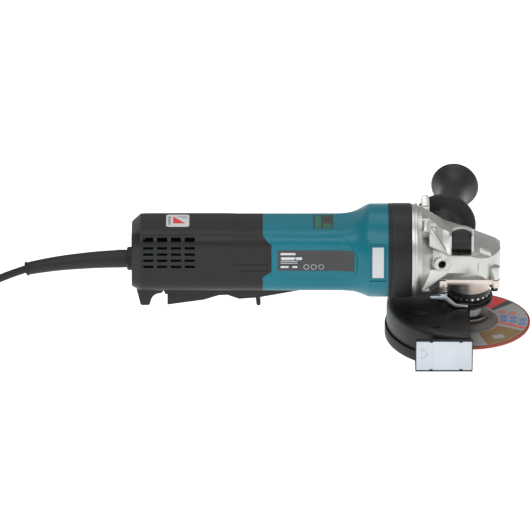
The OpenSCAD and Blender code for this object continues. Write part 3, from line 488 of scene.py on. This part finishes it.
# the plug: a flat moulded body with a ribbed neck
plug = block("plug", (PLUG_X - 18.4, PLUG_Y, PLUG_Z - 8.4), (PLUG_X + 18.4, PLUG_Y + 36, PLUG_Z + 8.4))
modify(plug, "BEVEL", width=6 * MM, segments=6, limit_method="NONE")
neck = rod("plug_neck", 6.2, (PLUG_X, PLUG_Y - 9, PLUG_Z), (PLUG_X, PLUG_Y + 4, PLUG_Z), 32)
rings = [rod("plug_rib", 7, (PLUG_X, PLUG_Y - 8 + 3 * i, PLUG_Z), (PLUG_X, PLUG_Y - 6.4 + 3 * i, PLUG_Z), 32)
         for i in range(3)]
plug = join("plug", [plug, neck, *rings])
alone(plug)
bpy.ops.object.shade_smooth_by_angle(angle=math.radians(40))
dress(plug, BLACK, "housing", "plug_body", slot="plug_body")

# a strap round the coil keeps its turns together
tie = copy_of("cord_tie", "coil_strap")
soften(tie, 0.3)
dress(tie, BLACK_MATT, "housing", "cord_tie", slot="cord_tie")

# ---- floor ----
bpy.ops.mesh.primitive_plane_add(size=60, location=at(0, 0, FLOOR_Z - 0.05))
floor = bpy.context.object
floor.name = "floor"
floor_mat, floor_tree, floor_bsdf = shader("pale_floor", (0.5, 0.5, 0.5), 0.6, Emission_Color=(1, 1, 1, 1),
                                             Emission_Strength=0.95)
vary_rough(floor_tree, floor_bsdf, noise(floor_tree, 6), 0.5, 0.7)
floor.data.materials.append(floor_mat)


# ---- motor housing: a slim body that swells into the fan barrel ----
CORNER_STEPS = 12


def section(x, half_width, half_height, radius, middle):
    """One ring of a rounded bar; middle is the height of its centre."""
    ring = []
    for corner, (side, up) in enumerate([(1, 1), (-1, 1), (-1, -1), (1, -1)]):
        for i in range(CORNER_STEPS + 1):
            angle = math.radians(90 * corner + 90 * i / CORNER_STEPS)
            ring.append(at(x, side * (half_width - radius) + radius * math.cos(angle),
                           middle + up * (half_height - radius) + radius * math.sin(angle)))
    return ring


def loft(name, stations, wall):
    """A shell through rounded sections, with its wall inside and its ends open."""
    rings = [section(*station) for station in stations]
    count = len(rings[0])
    faces = [(i * count + k, i * count + (k + 1) % count, (i + 1) * count + (k + 1) % count,
              (i + 1) * count + k) for i in range(len(rings) - 1) for k in range(count)]
    mesh = bpy.data.meshes.new(name)
    mesh.from_pydata([point for ring in rings for point in ring], [], faces)
    obj = bpy.data.objects.new(name, mesh)
    bpy.context.collection.objects.link(obj)
    outward(obj)
    return modify(obj, "SOLIDIFY", thickness=wall * MM, offset=-1, use_even_offset=True)


def smooth(obj, angle=35):
    alone(obj)
    bpy.ops.object.shade_smooth_by_angle(angle=math.radians(angle))
    return obj


BODY = (BODY_HW, BODY_HH, BODY_R, BODY_ZC)
FLARE = [(-134, *BODY), (-129, 33.3, 33.8, 16.6, -1.9), (-124, 34.4, 34.7, 19, -1.7),
         (-119, 36.2, 36.5, 24, -1.3), (-114, 39, 39.2, 30, -0.9)]
BARREL = (BARREL_R, BARREL_R, BARREL_R - 0.1, 0)
housing = loft("motor_shell", [
    (SPLIT_X, *BODY), (-180, *BODY), (-150, *BODY), *FLARE,
    (-109.5, 42.2, 42.3, 36.5, -0.4), (-105.5, 45.4, 45.4, 43, -0.1), (-103.2, 46.9, 46.9, 46.2, 0),
    (-101.5, 47.5, 47.5, 47.4, 0), (-92, *BARREL), (RING_REAR, *BARREL)], 2.5)
SLOT_HW = 15.6
HANDLE_END = (REAR_X, 26, 28.5, 13, -4)
BODY_STATIONS = [HANDLE_END, (-334, *BODY), *FLARE]


def skin(name, points, lift, low, high, near=True):
    """A thin raised area that follows the body: its outline in X and Z, lifted off the surface."""
    stations = [(x, width + lift, height + lift, radius + lift, middle)
                for x, width, height, radius, middle in BODY_STATIONS if low - 12 < x < high + 12]
    stations = [(low - 3, *stations[0][1:]) if stations[0][0] > low else stations[0], *stations[1:]]
    if stations[-1][0] < high:
        stations.append((high + 3, *stations[-1][1:]))
    layer = loft(name, stations, lift + 0.6)
    prism = outline("prism", points, *((-60, -2) if near else (2, 60)))
    return cut(layer, prism, "INTERSECT")


TEAL_PANEL = [(-200.7, -14.8), (-125.5, -16.3), (-117, -11), (-115, -6.7), (-115, 12), (-124.5, 24),
              (-129, 27.6), (-200.7, 27.6)]
slot_roof = block("slot_roof", (SPLIT_X + 0.1, -18, BODY_BOTTOM + 0.6), (-144, 18, SLOT_TOP + 1.2))
cut(housing, slot_roof, "UNION")
TONGUE = [(SPLIT_X - 3, -15.2), (SPLIT_X, -14.7), (SPLIT_X + 8.6, -8.8), (SPLIT_X + 8.6, 20.4),
          (SPLIT_X, 28.6), (SPLIT_X - 3, 30)]
cut(housing, outline("tongue", TONGUE, -60, 60))
cut(housing, block("slot", (SPLIT_X - 1, -SLOT_HW, -60), (-146, SLOT_HW, SLOT_TOP)))
window_recess = rod("recess", BARREL_R + 1.4, (-101.8, 0, 0), (-85.5, 0, 0), 128)
cut(window_recess, rod("recess_floor", BARREL_R - 0.9, (-103, 0, 0), (-84, 0, 0), 128))
cut(window_recess, block("recess_side", (-103, -60, -13.6), (-84, -20, 25.7)), "INTERSECT")
cut(housing, window_recess)
smooth(housing)
teal_panels = [skin("side_panel", TEAL_PANEL, 0.8, -200.7, -114, near) for near in (True, False)]
housing = smooth(join("motor_shell", [housing, *teal_panels]), 30)
dress(housing, TEAL, "housing", "motor_housing", slot="motor_housing")

rating = skin("rating_plate", [(-195, -6.9), (-119, -6.9), (-117.4, -5), (-117.4, 14), (-119, 15.9),
                               (-195, 15.9)], 0.95, -195, -116)
dress(smooth(rating), LABEL_DARK, "housing")
marks = []
PLATE_ROWS = [(10.6, 2.4, [(-192, -177), (-170, -166), (-160, -146)]),
              (6.4, 1.2, [(-192, -168), (-165, -152), (-149, -138)]),
              (3.4, 0.7, [(-192, -150), (-148, -137)]),
              (1.2, 0.7, [(-192, -160)]),
              (-3.8, 2.2, [(-192, -184), (-180, -171)])]
for z, high, runs in PLATE_ROWS:
    for x0, x1 in runs:
        marks.append(block("mark", (x0, -34.05, z), (x1, -33.7, z + high)))
dress(join("plate_marks", marks), LABEL_WHITE, "housing")
plate_frame = []
for x0, x1 in ((-191, -178), (-176, -163), (-161, -150)):
    plate_frame.append(block("cell", (x0, -34.07, 5.2), (x1, -33.75, 8.2)))
for x in (-166, -158.5, -151):
    bpy.ops.mesh.primitive_torus_add(major_radius=2.6 * MM, minor_radius=0.3 * MM, major_segments=32,
                                     minor_segments=8, location=at(x, -33.95, -2.6),
                                     rotation=(math.pi / 2, 0, 0))
    plate_frame.append(place_in_mesh(bpy.context.object))
dress(join("plate_cells", plate_frame), LABEL_WHITE, "housing")

strip = rod("window_strip", BARREL_R - 0.5, (-99.3, 0, 0), (-87.8, 0, 0), 128)
cut(strip, block("strip_side", (-103, -60, -9.2), (-84, -20, 22.5)), "INTERSECT")
dress(smooth(strip), LABEL_WHITE, "housing")
top_label = block("top_label", (-159, -15.3, LABEL_FOOT), (-138.7, 16.5, LABEL_TOP))
dress(soften(top_label, 0.12, 1), LABEL_DARK, "housing")
label_bars = [block("bar", (-157, -14, LABEL_FOOT + 0.1), (-151, 15, MARK_TOP)),
              block("bar", (-149, -14, LABEL_FOOT + 0.1), (-140.5, -4, MARK_TOP))]
dress(join("top_label_marks", label_bars), LABEL_GREEN, "housing")

# ---- fan ring: the dark ring between the motor housing and the gear head ----
ring = turned("fan_ring_cover", [(44, -83), (47.2, -83), (47.9, -82.4), (47.9, -80.6), (47.5, -80.2),
                                 (47.5, -79.4), (47.9, -79), (47.9, -61), (47.3, -59.6), (46.2, -59.05),
                                 (44, -59.05), (44, -83)], ORIGIN, ALONG, 128)
dress(smooth(ring, 30), BLACK_MATT, "housing", "fan_ring", slot="fan_ring")

# ---- rear handle: two shells that meet in the middle plane ----
HANDLE_WALL = 2.6
BOSS_Z = -9.5
BOSS_BORE = 9.3
handle = loft("handle", [HANDLE_END, (-341.5, 27.6, 29.5, 13.5, -3.6), (-334, *BODY),
                         (-300, *BODY), (-250, *BODY), (-218, *BODY), (SPLIT_X + 9, *BODY)], HANDLE_WALL)
end_wall = outline("end_wall", [(y, z) for y, z in [(13, 24.5), (21, 22.5), (24, 19.5), (26, 11.5),
                                                    (26, -19.5), (24, -27.5), (21, -30.5), (13, -32.5),
                                                    (-13, -32.5), (-21, -30.5), (-24, -27.5), (-26, -19.5),
                                                    (-26, 11.5), (-24, 19.5), (-21, 22.5), (-13, 24.5)]],
                   REAR_X, REAR_X + HANDLE_WALL, "X")
bevelled(end_wall, 0.8, 2, angle_limit=math.radians(60))
cut(handle, end_wall, "UNION")
horn = outline("horn", [(-338, -12), (-342.9, -15), (-334.2, -53.3), (-325, -53.3), (-323.4, -47),
                        (-321.4, -43), (-318, -40.6), (-312.6, -39.6), (-309.5, -35), (-309.5, -20)], -20,
               20)
bevelled(horn, 1.8, 3, angle_limit=math.radians(25))
cut(handle, horn, "UNION")
for y in (-19.4, 15.7):
    lip_wall = outline("lip_wall", [(-312, -33), (-309, -40.4), (-280, -39.6), (-250, -37.8), (-234, -36.4),
                                    (-212, -36), (-212, -33)], y, y + 3.7)
    cut(handle, lip_wall, "UNION")
boss = turned("boss", [(BOSS_BORE, -348), (10.8, -348), (12, -346.8), (12, -336), (BOSS_BORE, -336),
                       (BOSS_BORE, -348)], (0, 0, BOSS_Z), ALONG, 64)
cut(handle, boss, "UNION")
cut(handle, rod("guard_hole", BOSS_BORE, (-352, 0, BOSS_Z), (-334, 0, BOSS_Z), 64))
TEAL_SIDE = [(SPLIT_X, -60), (SPLIT_X, -14.9), (SPLIT_X + 8.3, -9), (SPLIT_X + 8.3, 20.2), (SPLIT_X, 28.2),
             (SPLIT_X, 60), (SPLIT_X + 30, 60), (SPLIT_X + 30, -60)]
cut(handle, outline("teal_side", TEAL_SIDE, -60, 60))
cut(handle, block("slot", (-312, -SLOT_HW, -90), (SPLIT_X + 20, SLOT_HW, BODY_BOTTOM + 4.6)))
outer_panel = [(-332.8, -17.3), (-214, -19.5), (SPLIT_X - 3, -14), (SPLIT_X + 5, -8), (SPLIT_X + 5, 19),
               (SPLIT_X - 3, 26), (-249.5, 29.6), (-329.8, 29), (-332.8, 24)]
inner_panel = [(-331, -14.5), (-240, -16.5), (-227, -17.5), (-214, -16), (SPLIT_X + 3, -7), (SPLIT_X + 3, 17),
               (-214, 20.5), (-245, 21.6), (-331, 21.6)]
panels = []
for near in (True, False):
    panels.append(skin("outer_panel", outer_panel, 0.5, -332.8, SPLIT_X + 6, near))
    panels.append(skin("inner_panel", inner_panel, 0.9, -331, SPLIT_X + 4, near))
VENT_COLUMNS, VENT_ROWS = 4, 5
VENT_LENGTH = 10.3
VENT_HEIGHT, TOP_VENT_HEIGHT = 2.8, 4.0
vents = [(REAR_X + 12 + 14 * column, -4 + 6.9 * row, TOP_VENT_HEIGHT if row == VENT_ROWS - 1 else VENT_HEIGHT)
         for column in range(VENT_COLUMNS) for row in range(VENT_ROWS)]


def vent_tool():
    """All the vent slots as one cutter, right through both sides."""
    return join("vents", [block("vent", (x, -60, z), (x + VENT_LENGTH, 60, z + high)) for x, z,
                          high in vents])


cut(handle, vent_tool())
panels = [cut(panel, vent_tool()) for panel in panels]
ridges = []
for x0, x1, z in ((-241, -205, -0.9), (-235, -205.8, -8)):
    for side in (-1, 1):
        y0, y1 = sorted((side * 33.4, side * 34.5))
        ridge = block("ridge", (x0, y0, z - 0.7), (x1, y1, z + 0.7))
        ridges.append(modify(ridge, "BEVEL", width=0.45 * MM, segments=3, limit_method="NONE"))
sides = {True: [], False: []}
for piece in panels + ridges:
    ys = [v.co.y for v in piece.data.vertices]
    sides[sum(ys) / len(ys) < HEAD_HW * MM].append(piece)
for near in (True, False):
    half = handle.copy()
    half.data = handle.data.copy()
    bpy.context.collection.objects.link(half)
    low, high = ((-60, -0.12) if near else (0.12, 60))
    cut(half, block("half", (-360, low, -80), (-190, high, 60)), "INTERSECT")
    half = smooth(join("near_shell" if near else "far_shell", [half, *sides[near]]), 30)
    node = "rear_shell_near" if near else "rear_shell_far"
    dress(half, BLACK, "housing", node, slot=node)
bpy.data.objects.remove(handle, do_unlink=True)
screens = [block("screen", (-330, y, -6), (-274, y + 0.6, 22.4)) for y in (-27, 26.4)]
dress(join("vent_screen", screens), TEAL, "housing")
dark = [block("dark", (-330, y, 21.6), (-266, y + 0.6, 28.6)) for y in (-20.6, 20)]
dress(join("vent_screen_top", dark), BLACK_MATT, "housing")
corners = [(-305, -8.4, 180), (-287.6, -8.4, 270), (-287.6, 14, 0), (-305, 14, 90)]
rounded = [(x + 3 * math.cos(math.radians(a + 15 * i)), y + 3 * math.sin(math.radians(a + 15 * i)))
           for x, y, a in corners for i in range(7)]
sticker = outline("top_sticker", rounded, LABEL_FOOT, LABEL_TOP, "Z")
dress(smooth(sticker), LABEL_WHITE, "housing")
lines = [block("line", (-306, y, MARK_FOOT), (-303.4, y + 2, MARK_TOP)) for y in (-6, -2, 2, 6, 10)]
for i in range(3):
    low_y = 12.6 - 2.4 * i
    lines.append(block("line", (-297 + 3 * i, low_y, MARK_FOOT), (-286.6, low_y + 0.6, MARK_TOP)))
dress(join("sticker_lines", lines), LABEL_DARK, "housing")
triangle = outline("sticker_triangle", [(-301, -3.5), (-288.4, -3.5), (-300.8, 12.5)], MARK_FOOT,
                   MARK_TOP + 0.02, "Z")
dress(triangle, LABEL_RED, "housing")


# ---- gear head: the cast housing, its lugs, rib and the arched boss of the shaft lock ----
def arch(name, low_x, high_x, foot, top, y0, y1):
    """A block with a round top, its flat faces towards the sides of the tool."""
    radius = (high_x - low_x) / 2
    centre = (low_x + high_x) / 2
    crown = [(centre + radius * math.cos(a), top - radius * 0.55 + radius * 0.55 * math.sin(a))
             for a in (math.pi * i / 16 for i in range(17))]
    return outline(name, [(low_x, foot), (high_x, foot), *crown], y0, y1)


head = copy_of("gear_housing", "head_casting")
cut(head, arch("boss", -21.5, 3.5, 6, 32.4, -27.6, -10), "UNION")
cut(head, arch("button_pocket", -19.1, 1.1, 9.5, 45, -33, -14.6))
soften(head, 0.5, 2, 35, 35)
extras = []
side_skirt = outline("side_skirt", [(-49, -6), (-21, -6), (-23.9, -11.7), (-39.5, -24.5), (-49, -31)],
                     -34.1, -27)
extras.append(bevelled(side_skirt, 0.8, 2))
wall_rim = outline("wall_rim", [(-23, 8.6), (0, 8.2), (0, 9.6), (-22.5, 10.2), (-40, 35.4), (-42, 34)],
                   -34.4, -31)
extras.append(bevelled(wall_rim, 0.5, 2))
rib = outline("rib", [(-42, 43), (-42, 20), (-24, 12), (-25, 15)], -33.5, -26)
extras.append(bevelled(rib, 0.7, 2))
front_pad = outline("front_pad", [(8, 6), (22, 4), (20, 10.5), (9, 14)], -25.5, -16)
extras.append(bevelled(front_pad, 1.6, 3))
for side in (-1, 1):
    lug = outline("lug", [(-49, 40), (-40.8, 40), (-40.8, 52), (-42.3, 56), (-47, 56.5), (-49, 54)], -6.5,
                  6.5)
    lug.data.transform(Matrix.Translation(at(0, 0, 0)) @ Matrix.Rotation(side * math.radians(-38), 4, "X")
                       @ Matrix.Translation(-at(0, 0, 0)))
    extras.append(bevelled(lug, 1.2, 3))
step_ring = turned("flange_step", [(40, -56.5), (47.2, -56.5), (47.6, -56), (47.6, -53.9), (47.1, -53.4),
                                   (40, -53.4), (40, -56.5)], ORIGIN, ALONG, 128)
extras.append(step_ring)
thread_lip = turned("thread_lip", [(4.1, 0.02), (4.1, 0.3), (4.6, 0.45), (5.2, 0.3), (5.4, 0.02),
                                   (4.1, 0.02)], (THREAD_X, -HEAD_HW, 0),
                    (math.sin(math.radians(8)), -math.cos(math.radians(8)), 0), 48)
extras.append(thread_lip)
head = smooth(join("head_casting", [head, *extras]), 35)
dress(head, CAST, "housing", "gear_housing", slot="gear_housing")

button = arch("lock_key", -18.8, 0.8, 13.5, 30.8, -28.2, -15)
bevelled(button, 0.8, 3, angle_limit=math.radians(50))
KEY_X, KEY_Y = -9, -21
stem = rod("lock_stem", 2.3, (KEY_X, KEY_Y, -1.5), (KEY_X, KEY_Y, 15), 24)
groove = outline("key_groove", [(-17.6, 19.4), (-0.4, 19.4), (-0.4, 20), (-17.6, 20)], -28.5, -28)
button = smooth(join("lock_key", [button, stem, groove]))
dress(button, BLACK, "shaft_lock", "lock_button", slot="lock_button")

bearing_case = soften(copy_of("bearing_box", "bearing_case"), 0.45, 2, 35, 35)
dress(bearing_case, CAST_WARM, "housing", "bearing_box", slot="bearing_box")
case_screws = soften(copy_of("bearing_box_screws", "case_screws"), 0.3, 2, 40, 40)
dress(case_screws, BLACK_STEEL, "housing", "bearing_box_screws", slot="bearing_box_screws")

# ---- guard, clip cover and latch ----
def around(degrees):
    """The direction at an angle round the spindle."""
    return Vector((math.cos(math.radians(degrees)), math.sin(math.radians(degrees))))


guard_shell = turned("guard_shell", [(22.5, -56), (22.5, -54), (39.5, -53.05), (41.5, -53.7), (44, -55),
                                     (77, -55), (79.5, -55.4), (81.8, -56.6), (83.4, -58.4), (84, -61),
                                     (84, -90.4), (83.6, -91), (82, -91), (82, -61), (80.6, -58.4),
                                     (77.5, -57), (44, -57), (40, -55.2), (22.5, -56)], ORIGIN, UP, 160)
cut(guard_shell, block("guard_half", (-120, -120, -120), (0, 120, 0)), "INTERSECT")
collar = turned("collar", [(19.2, -56), (19.2, -40.9), (19.5, -40.6), (20.4, -40.6), (20.8, -41),
                           (20.8, -54), (23.2, -54), (23.2, -56), (19.2, -56)], ORIGIN, UP, 96)
tab = outline("guard_tab", [(-58, -33), (-46, -33), (-42, -39), (-54, -39)], GUARD_TOP - 0.8,
              GUARD_TOP + 0.5, "Z")
bevelled(tab, 0.4, 2)
guard_shell = smooth(join("guard_shell", [guard_shell, collar, tab]), 35)
dress(guard_shell, PAINT, "guard", "wheel_guard", slot="wheel_guard")
dome = turned("collar_dome", [(21.2, -54), (33, -53.9), (35.5, -53.1), (35.2, -52.5), (30, -52), (25, -51),
                              (21.2, -50.6), (21.2, -54)], ORIGIN, UP, 96)
cut(dome, block("dome_half", (-60, -60, -60), (0, 60, -40)), "INTERSECT")
dress(smooth(dome), PAINT_GLOSS, "guard")
lip_ring = turned("collar_lip", [(20.9, -50.4), (23.4, -50.4), (24, -49.7), (23.4, -49), (20.9, -49),
                                 (20.9, -50.4)], ORIGIN, UP, 96)
dress(smooth(lip_ring, 50), PAINT_GLOSS, "guard")
holes = []
COLLAR_HOLES = 22
HOLE_Z = -46.6
for i in range(COLLAR_HOLES):
    away = around(360 * i / COLLAR_HOLES)
    holes.append(rod("hole", 1.15, (*(20.3 * away), HOLE_Z), (*(20.9 * away), HOLE_Z), 16))
dress(join("collar_holes", holes), STEEL, "guard")
cover = soften(copy_of("clip_cover", "cover_shell"), 0.4, 2, 35, 35)
dress(cover, BLACK_MATT, "guard", "clip_cover", slot="clip_cover")
latch = soften(copy_of("latch_plate", "latch_cover"), 0.3, 2, 40, 40)
LATCH_Y = -GUARD_R - 4.2 - 1.3
ARROW = [(-50, -68), (-50, -80), (-43.5, -74)]
marks = []
for (x0, z0), (x1, z1) in zip(ARROW, ARROW[1:] + ARROW[:1]):
    marks.append(rod("mark", 0.35, (x0, LATCH_Y - 0.05, z0), (x1, LATCH_Y - 0.05, z1), 8))
marks.append(block("crease", (-39.2, LATCH_Y - 0.25, -90), (-38.6, LATCH_Y + 0.1, -61)))
latch = smooth(join("latch_cover", [latch, *marks]), 40)
dress(latch, ZINC, "guard", "latch_plate", slot="latch_plate")
lever = soften(copy_of("guard_lever", "lever_arm"), 0.4, 2, 35, 40)
dress(lever, ZINC, "guard_lever", "guard_lever", slot="guard_lever")

# ---- abrasive wheel with a printed label, its flange and its nut ----
HUB_R = 29.0
HUB_Z = WHEEL_TOP + 4.5
wheel = turned("wheel_disc", [(11.1, HUB_Z), (HUB_R - 4.4, HUB_Z), (HUB_R - 3.4, HUB_Z - 0.5),
                              (HUB_R - 0.3, WHEEL_TOP + 0.2), (HUB_R + 0.6, WHEEL_TOP),
                              (WHEEL_R - 0.3, WHEEL_TOP), (WHEEL_R, WHEEL_TOP - 0.3),
                              (WHEEL_R, WHEEL_TOP - 2.7), (WHEEL_R - 0.3, WHEEL_TOP - 3),
                              (HUB_R - 1, WHEEL_TOP - 3), (HUB_R - 5, HUB_Z - 3), (11.1, HUB_Z - 3),
                              (11.1, HUB_Z)], ORIGIN, UP, 160)
dress(smooth(wheel), ABRASIVE, "spindle", "abrasive_wheel", slot="abrasive_wheel")
hub = turned("wheel_hub", [(11.3, HUB_Z + 0.02), (HUB_R - 4.4, HUB_Z + 0.02), (HUB_R - 3.3, HUB_Z - 0.46),
                           (HUB_R - 0.2, WHEEL_TOP + 0.26), (HUB_R + 0.8, WHEEL_TOP + 0.06),
                           (HUB_R + 0.8, WHEEL_TOP - 0.2), (11.3, HUB_Z - 1), (11.3, HUB_Z + 0.02)], ORIGIN,
             UP, 128)
dress(smooth(hub), HUB_GREY, "spindle")
rays = []
for degrees in range(0, 360, 30):
    away = around(degrees)
    inner, bend, outer = 20 * away, 24.4 * away, 28.8 * away
    rays.append(rod("ray", 0.22, (*inner, HUB_Z), (*bend, HUB_Z), 8))
    rays.append(rod("ray", 0.22, (*bend, HUB_Z), (*outer, WHEEL_TOP + 0.3), 8))
dress(join("hub_lines", rays), PRINT_ORANGE, "spindle")
PRINT_Z = WHEEL_TOP + 0.04
LABEL_R = 60.4
PATCH_R = 59.8
paper = turned("wheel_label", [(HUB_R + 0.9, PRINT_Z - 0.3), (HUB_R + 0.9, PRINT_Z), (LABEL_R, PRINT_Z),
                               (LABEL_R, PRINT_Z - 0.3), (HUB_R + 0.9, PRINT_Z - 0.3)], ORIGIN, UP, 160)
dress(smooth(paper), PAPER_GREY, "spindle")


def sector(name, start, end, inner, outer, rise):
    """A printed patch between two angles and two radii."""
    steps = max(int((end - start) / 3), 2)
    angles = [math.radians(start + (end - start) * i / steps) for i in range(steps + 1)]
    points = [(inner * math.cos(a), inner * math.sin(a)) for a in angles]
    points += [(outer * math.cos(a), outer * math.sin(a)) for a in reversed(angles)]
    return outline(name, points, PRINT_Z - 0.1, PRINT_Z + rise, "Z")


dress(sector("label_gold", -73, -25, HUB_R + 2, PATCH_R, 0.03), PRINT_GOLD, "spindle")
stripe = outline("label_stripe", [(28.5, -6.5), (56, -21.2), (57.3, -17.4), (30.5, -3.2)], PRINT_Z,
                 PRINT_Z + 0.05, "Z")
dress(stripe, PRINT_ORANGE, "spindle")
note = outline("label_note", [(22, -36), (33, -33), (36, -41), (25, -44.5)], PRINT_Z, PRINT_Z + 0.05, "Z")
dress(note, PAPER_GREY, "spindle")
dress(sector("label_patch", 48, 68, 34, PATCH_R, 0.04), LABEL_RED, "spindle")
dress(sector("label_patch_dark", 40, 48, 34, PATCH_R, 0.04), LABEL_DARK, "spindle")
dress(sector("label_patch_back", 110, 175, 34, PATCH_R, 0.03), PRINT_GOLD, "spindle")


def print_rings(name, centres, material):
    parts = []
    for x, y in centres:
        parts.append(turned("ring", [(2.2, -0.1), (2.2, 0.04), (3.7, 0.04), (3.7, -0.1), (2.2, -0.1)],
                            (x, y, PRINT_Z), UP, 32))
        parts.append(rod("dot", 1.2, (x, y, PRINT_Z - 0.1), (x, y, PRINT_Z + 0.04), 16))
    dress(join(name, parts), material, "spindle")


print_rings("rings_blue", [(35.9, 7.5), (45.8, 4.7), (55, -0.1), (35.9, -1.3), (45.2, -4.5), (54, -9.0)],
            PRINT_BLUE)
print_rings("rings_red", [(34.7, 18.2), (44.5, 14.5)], PRINT_ORANGE)
flange = soften(copy_of("inner_flange", "flange_inner"), 0.4, 2, 35, 40)
dress(flange, DARK_STEEL, "spindle", "inner_flange", slot="inner_flange")
nut = soften(copy_of("lock_nut", "flange_nut"), 0.4, 2, 35, 40)
dress(nut, BLACK_STEEL, "spindle", "lock_nut", slot="lock_nut")

# ---- side handle: hand flange with two ribs, waisted neck and flared end ----
LEAN = math.radians(8)
HANDLE_WAY = Vector((math.sin(LEAN), math.cos(LEAN), 0))
grip = turned("handle_grip", [(4.05, 46), (4.05, 2.5), (12, 2.5), (13.3, 4), (14.5, 21), (17, 24),
                              (21, 25.5), (31, 27.8), (32.2, 28.8), (32.5, 30), (32, 31.6), (30.6, 31.9),
                              (29.6, 31.2), (21, 31.9), (17.5, 33.2), (16, 36), (14.9, 41), (14.5, 47),
                              (15, 57), (15.3, 66), (14.9, 78), (14.5, 91), (15, 98), (16.5, 104),
                              (19, 110), (21.8, 114.5), (24, 117.5), (24.6, 120), (24, 122.2), (22, 123.6),
                              (18, 124), (4, 124), (0.01, 123.9)], (THREAD_X, HEAD_HW, 0), HANDLE_WAY, 96)
ribs = []
for lift in (-1, 1):
    bar = block("rib", (THREAD_X - 24, HEAD_HW + 23.5, lift * 11 - 0.9),
                (THREAD_X + 24, HEAD_HW + 27, lift * 11 + 0.9))
    ribs.append(modify(bar, "BEVEL", width=0.5 * MM, segments=2, limit_method="NONE"))
swing = Matrix.Translation(at(THREAD_X, HEAD_HW, 0)) @ Matrix.Rotation(-LEAN, 4, "Z") @ Matrix.Rotation(
    math.radians(35), 4, "Y") @ Matrix.Translation(-at(THREAD_X, HEAD_HW, 0))
for bar in ribs:
    bar.data.transform(swing)
grip = smooth(join("handle_grip", [grip, *ribs]), 40)
dress(grip, GRIP, "housing", "side_grip", slot="side_grip")

# ---- paddle and lock-off tab ----
paddle = soften(copy_of("switch_paddle", "paddle_shell"), 1.0, 3, 25, 35)
dress(paddle, BLACK_MATT, "paddle", "switch_paddle", slot="switch_paddle")
tab = soften(copy_of("lock_off_lever", "lock_off_tab"), 0.4, 2, 30, 40)
dress(tab, BLACK_MATT, "lock_off", "lock_off_lever", slot="lock_off_lever")
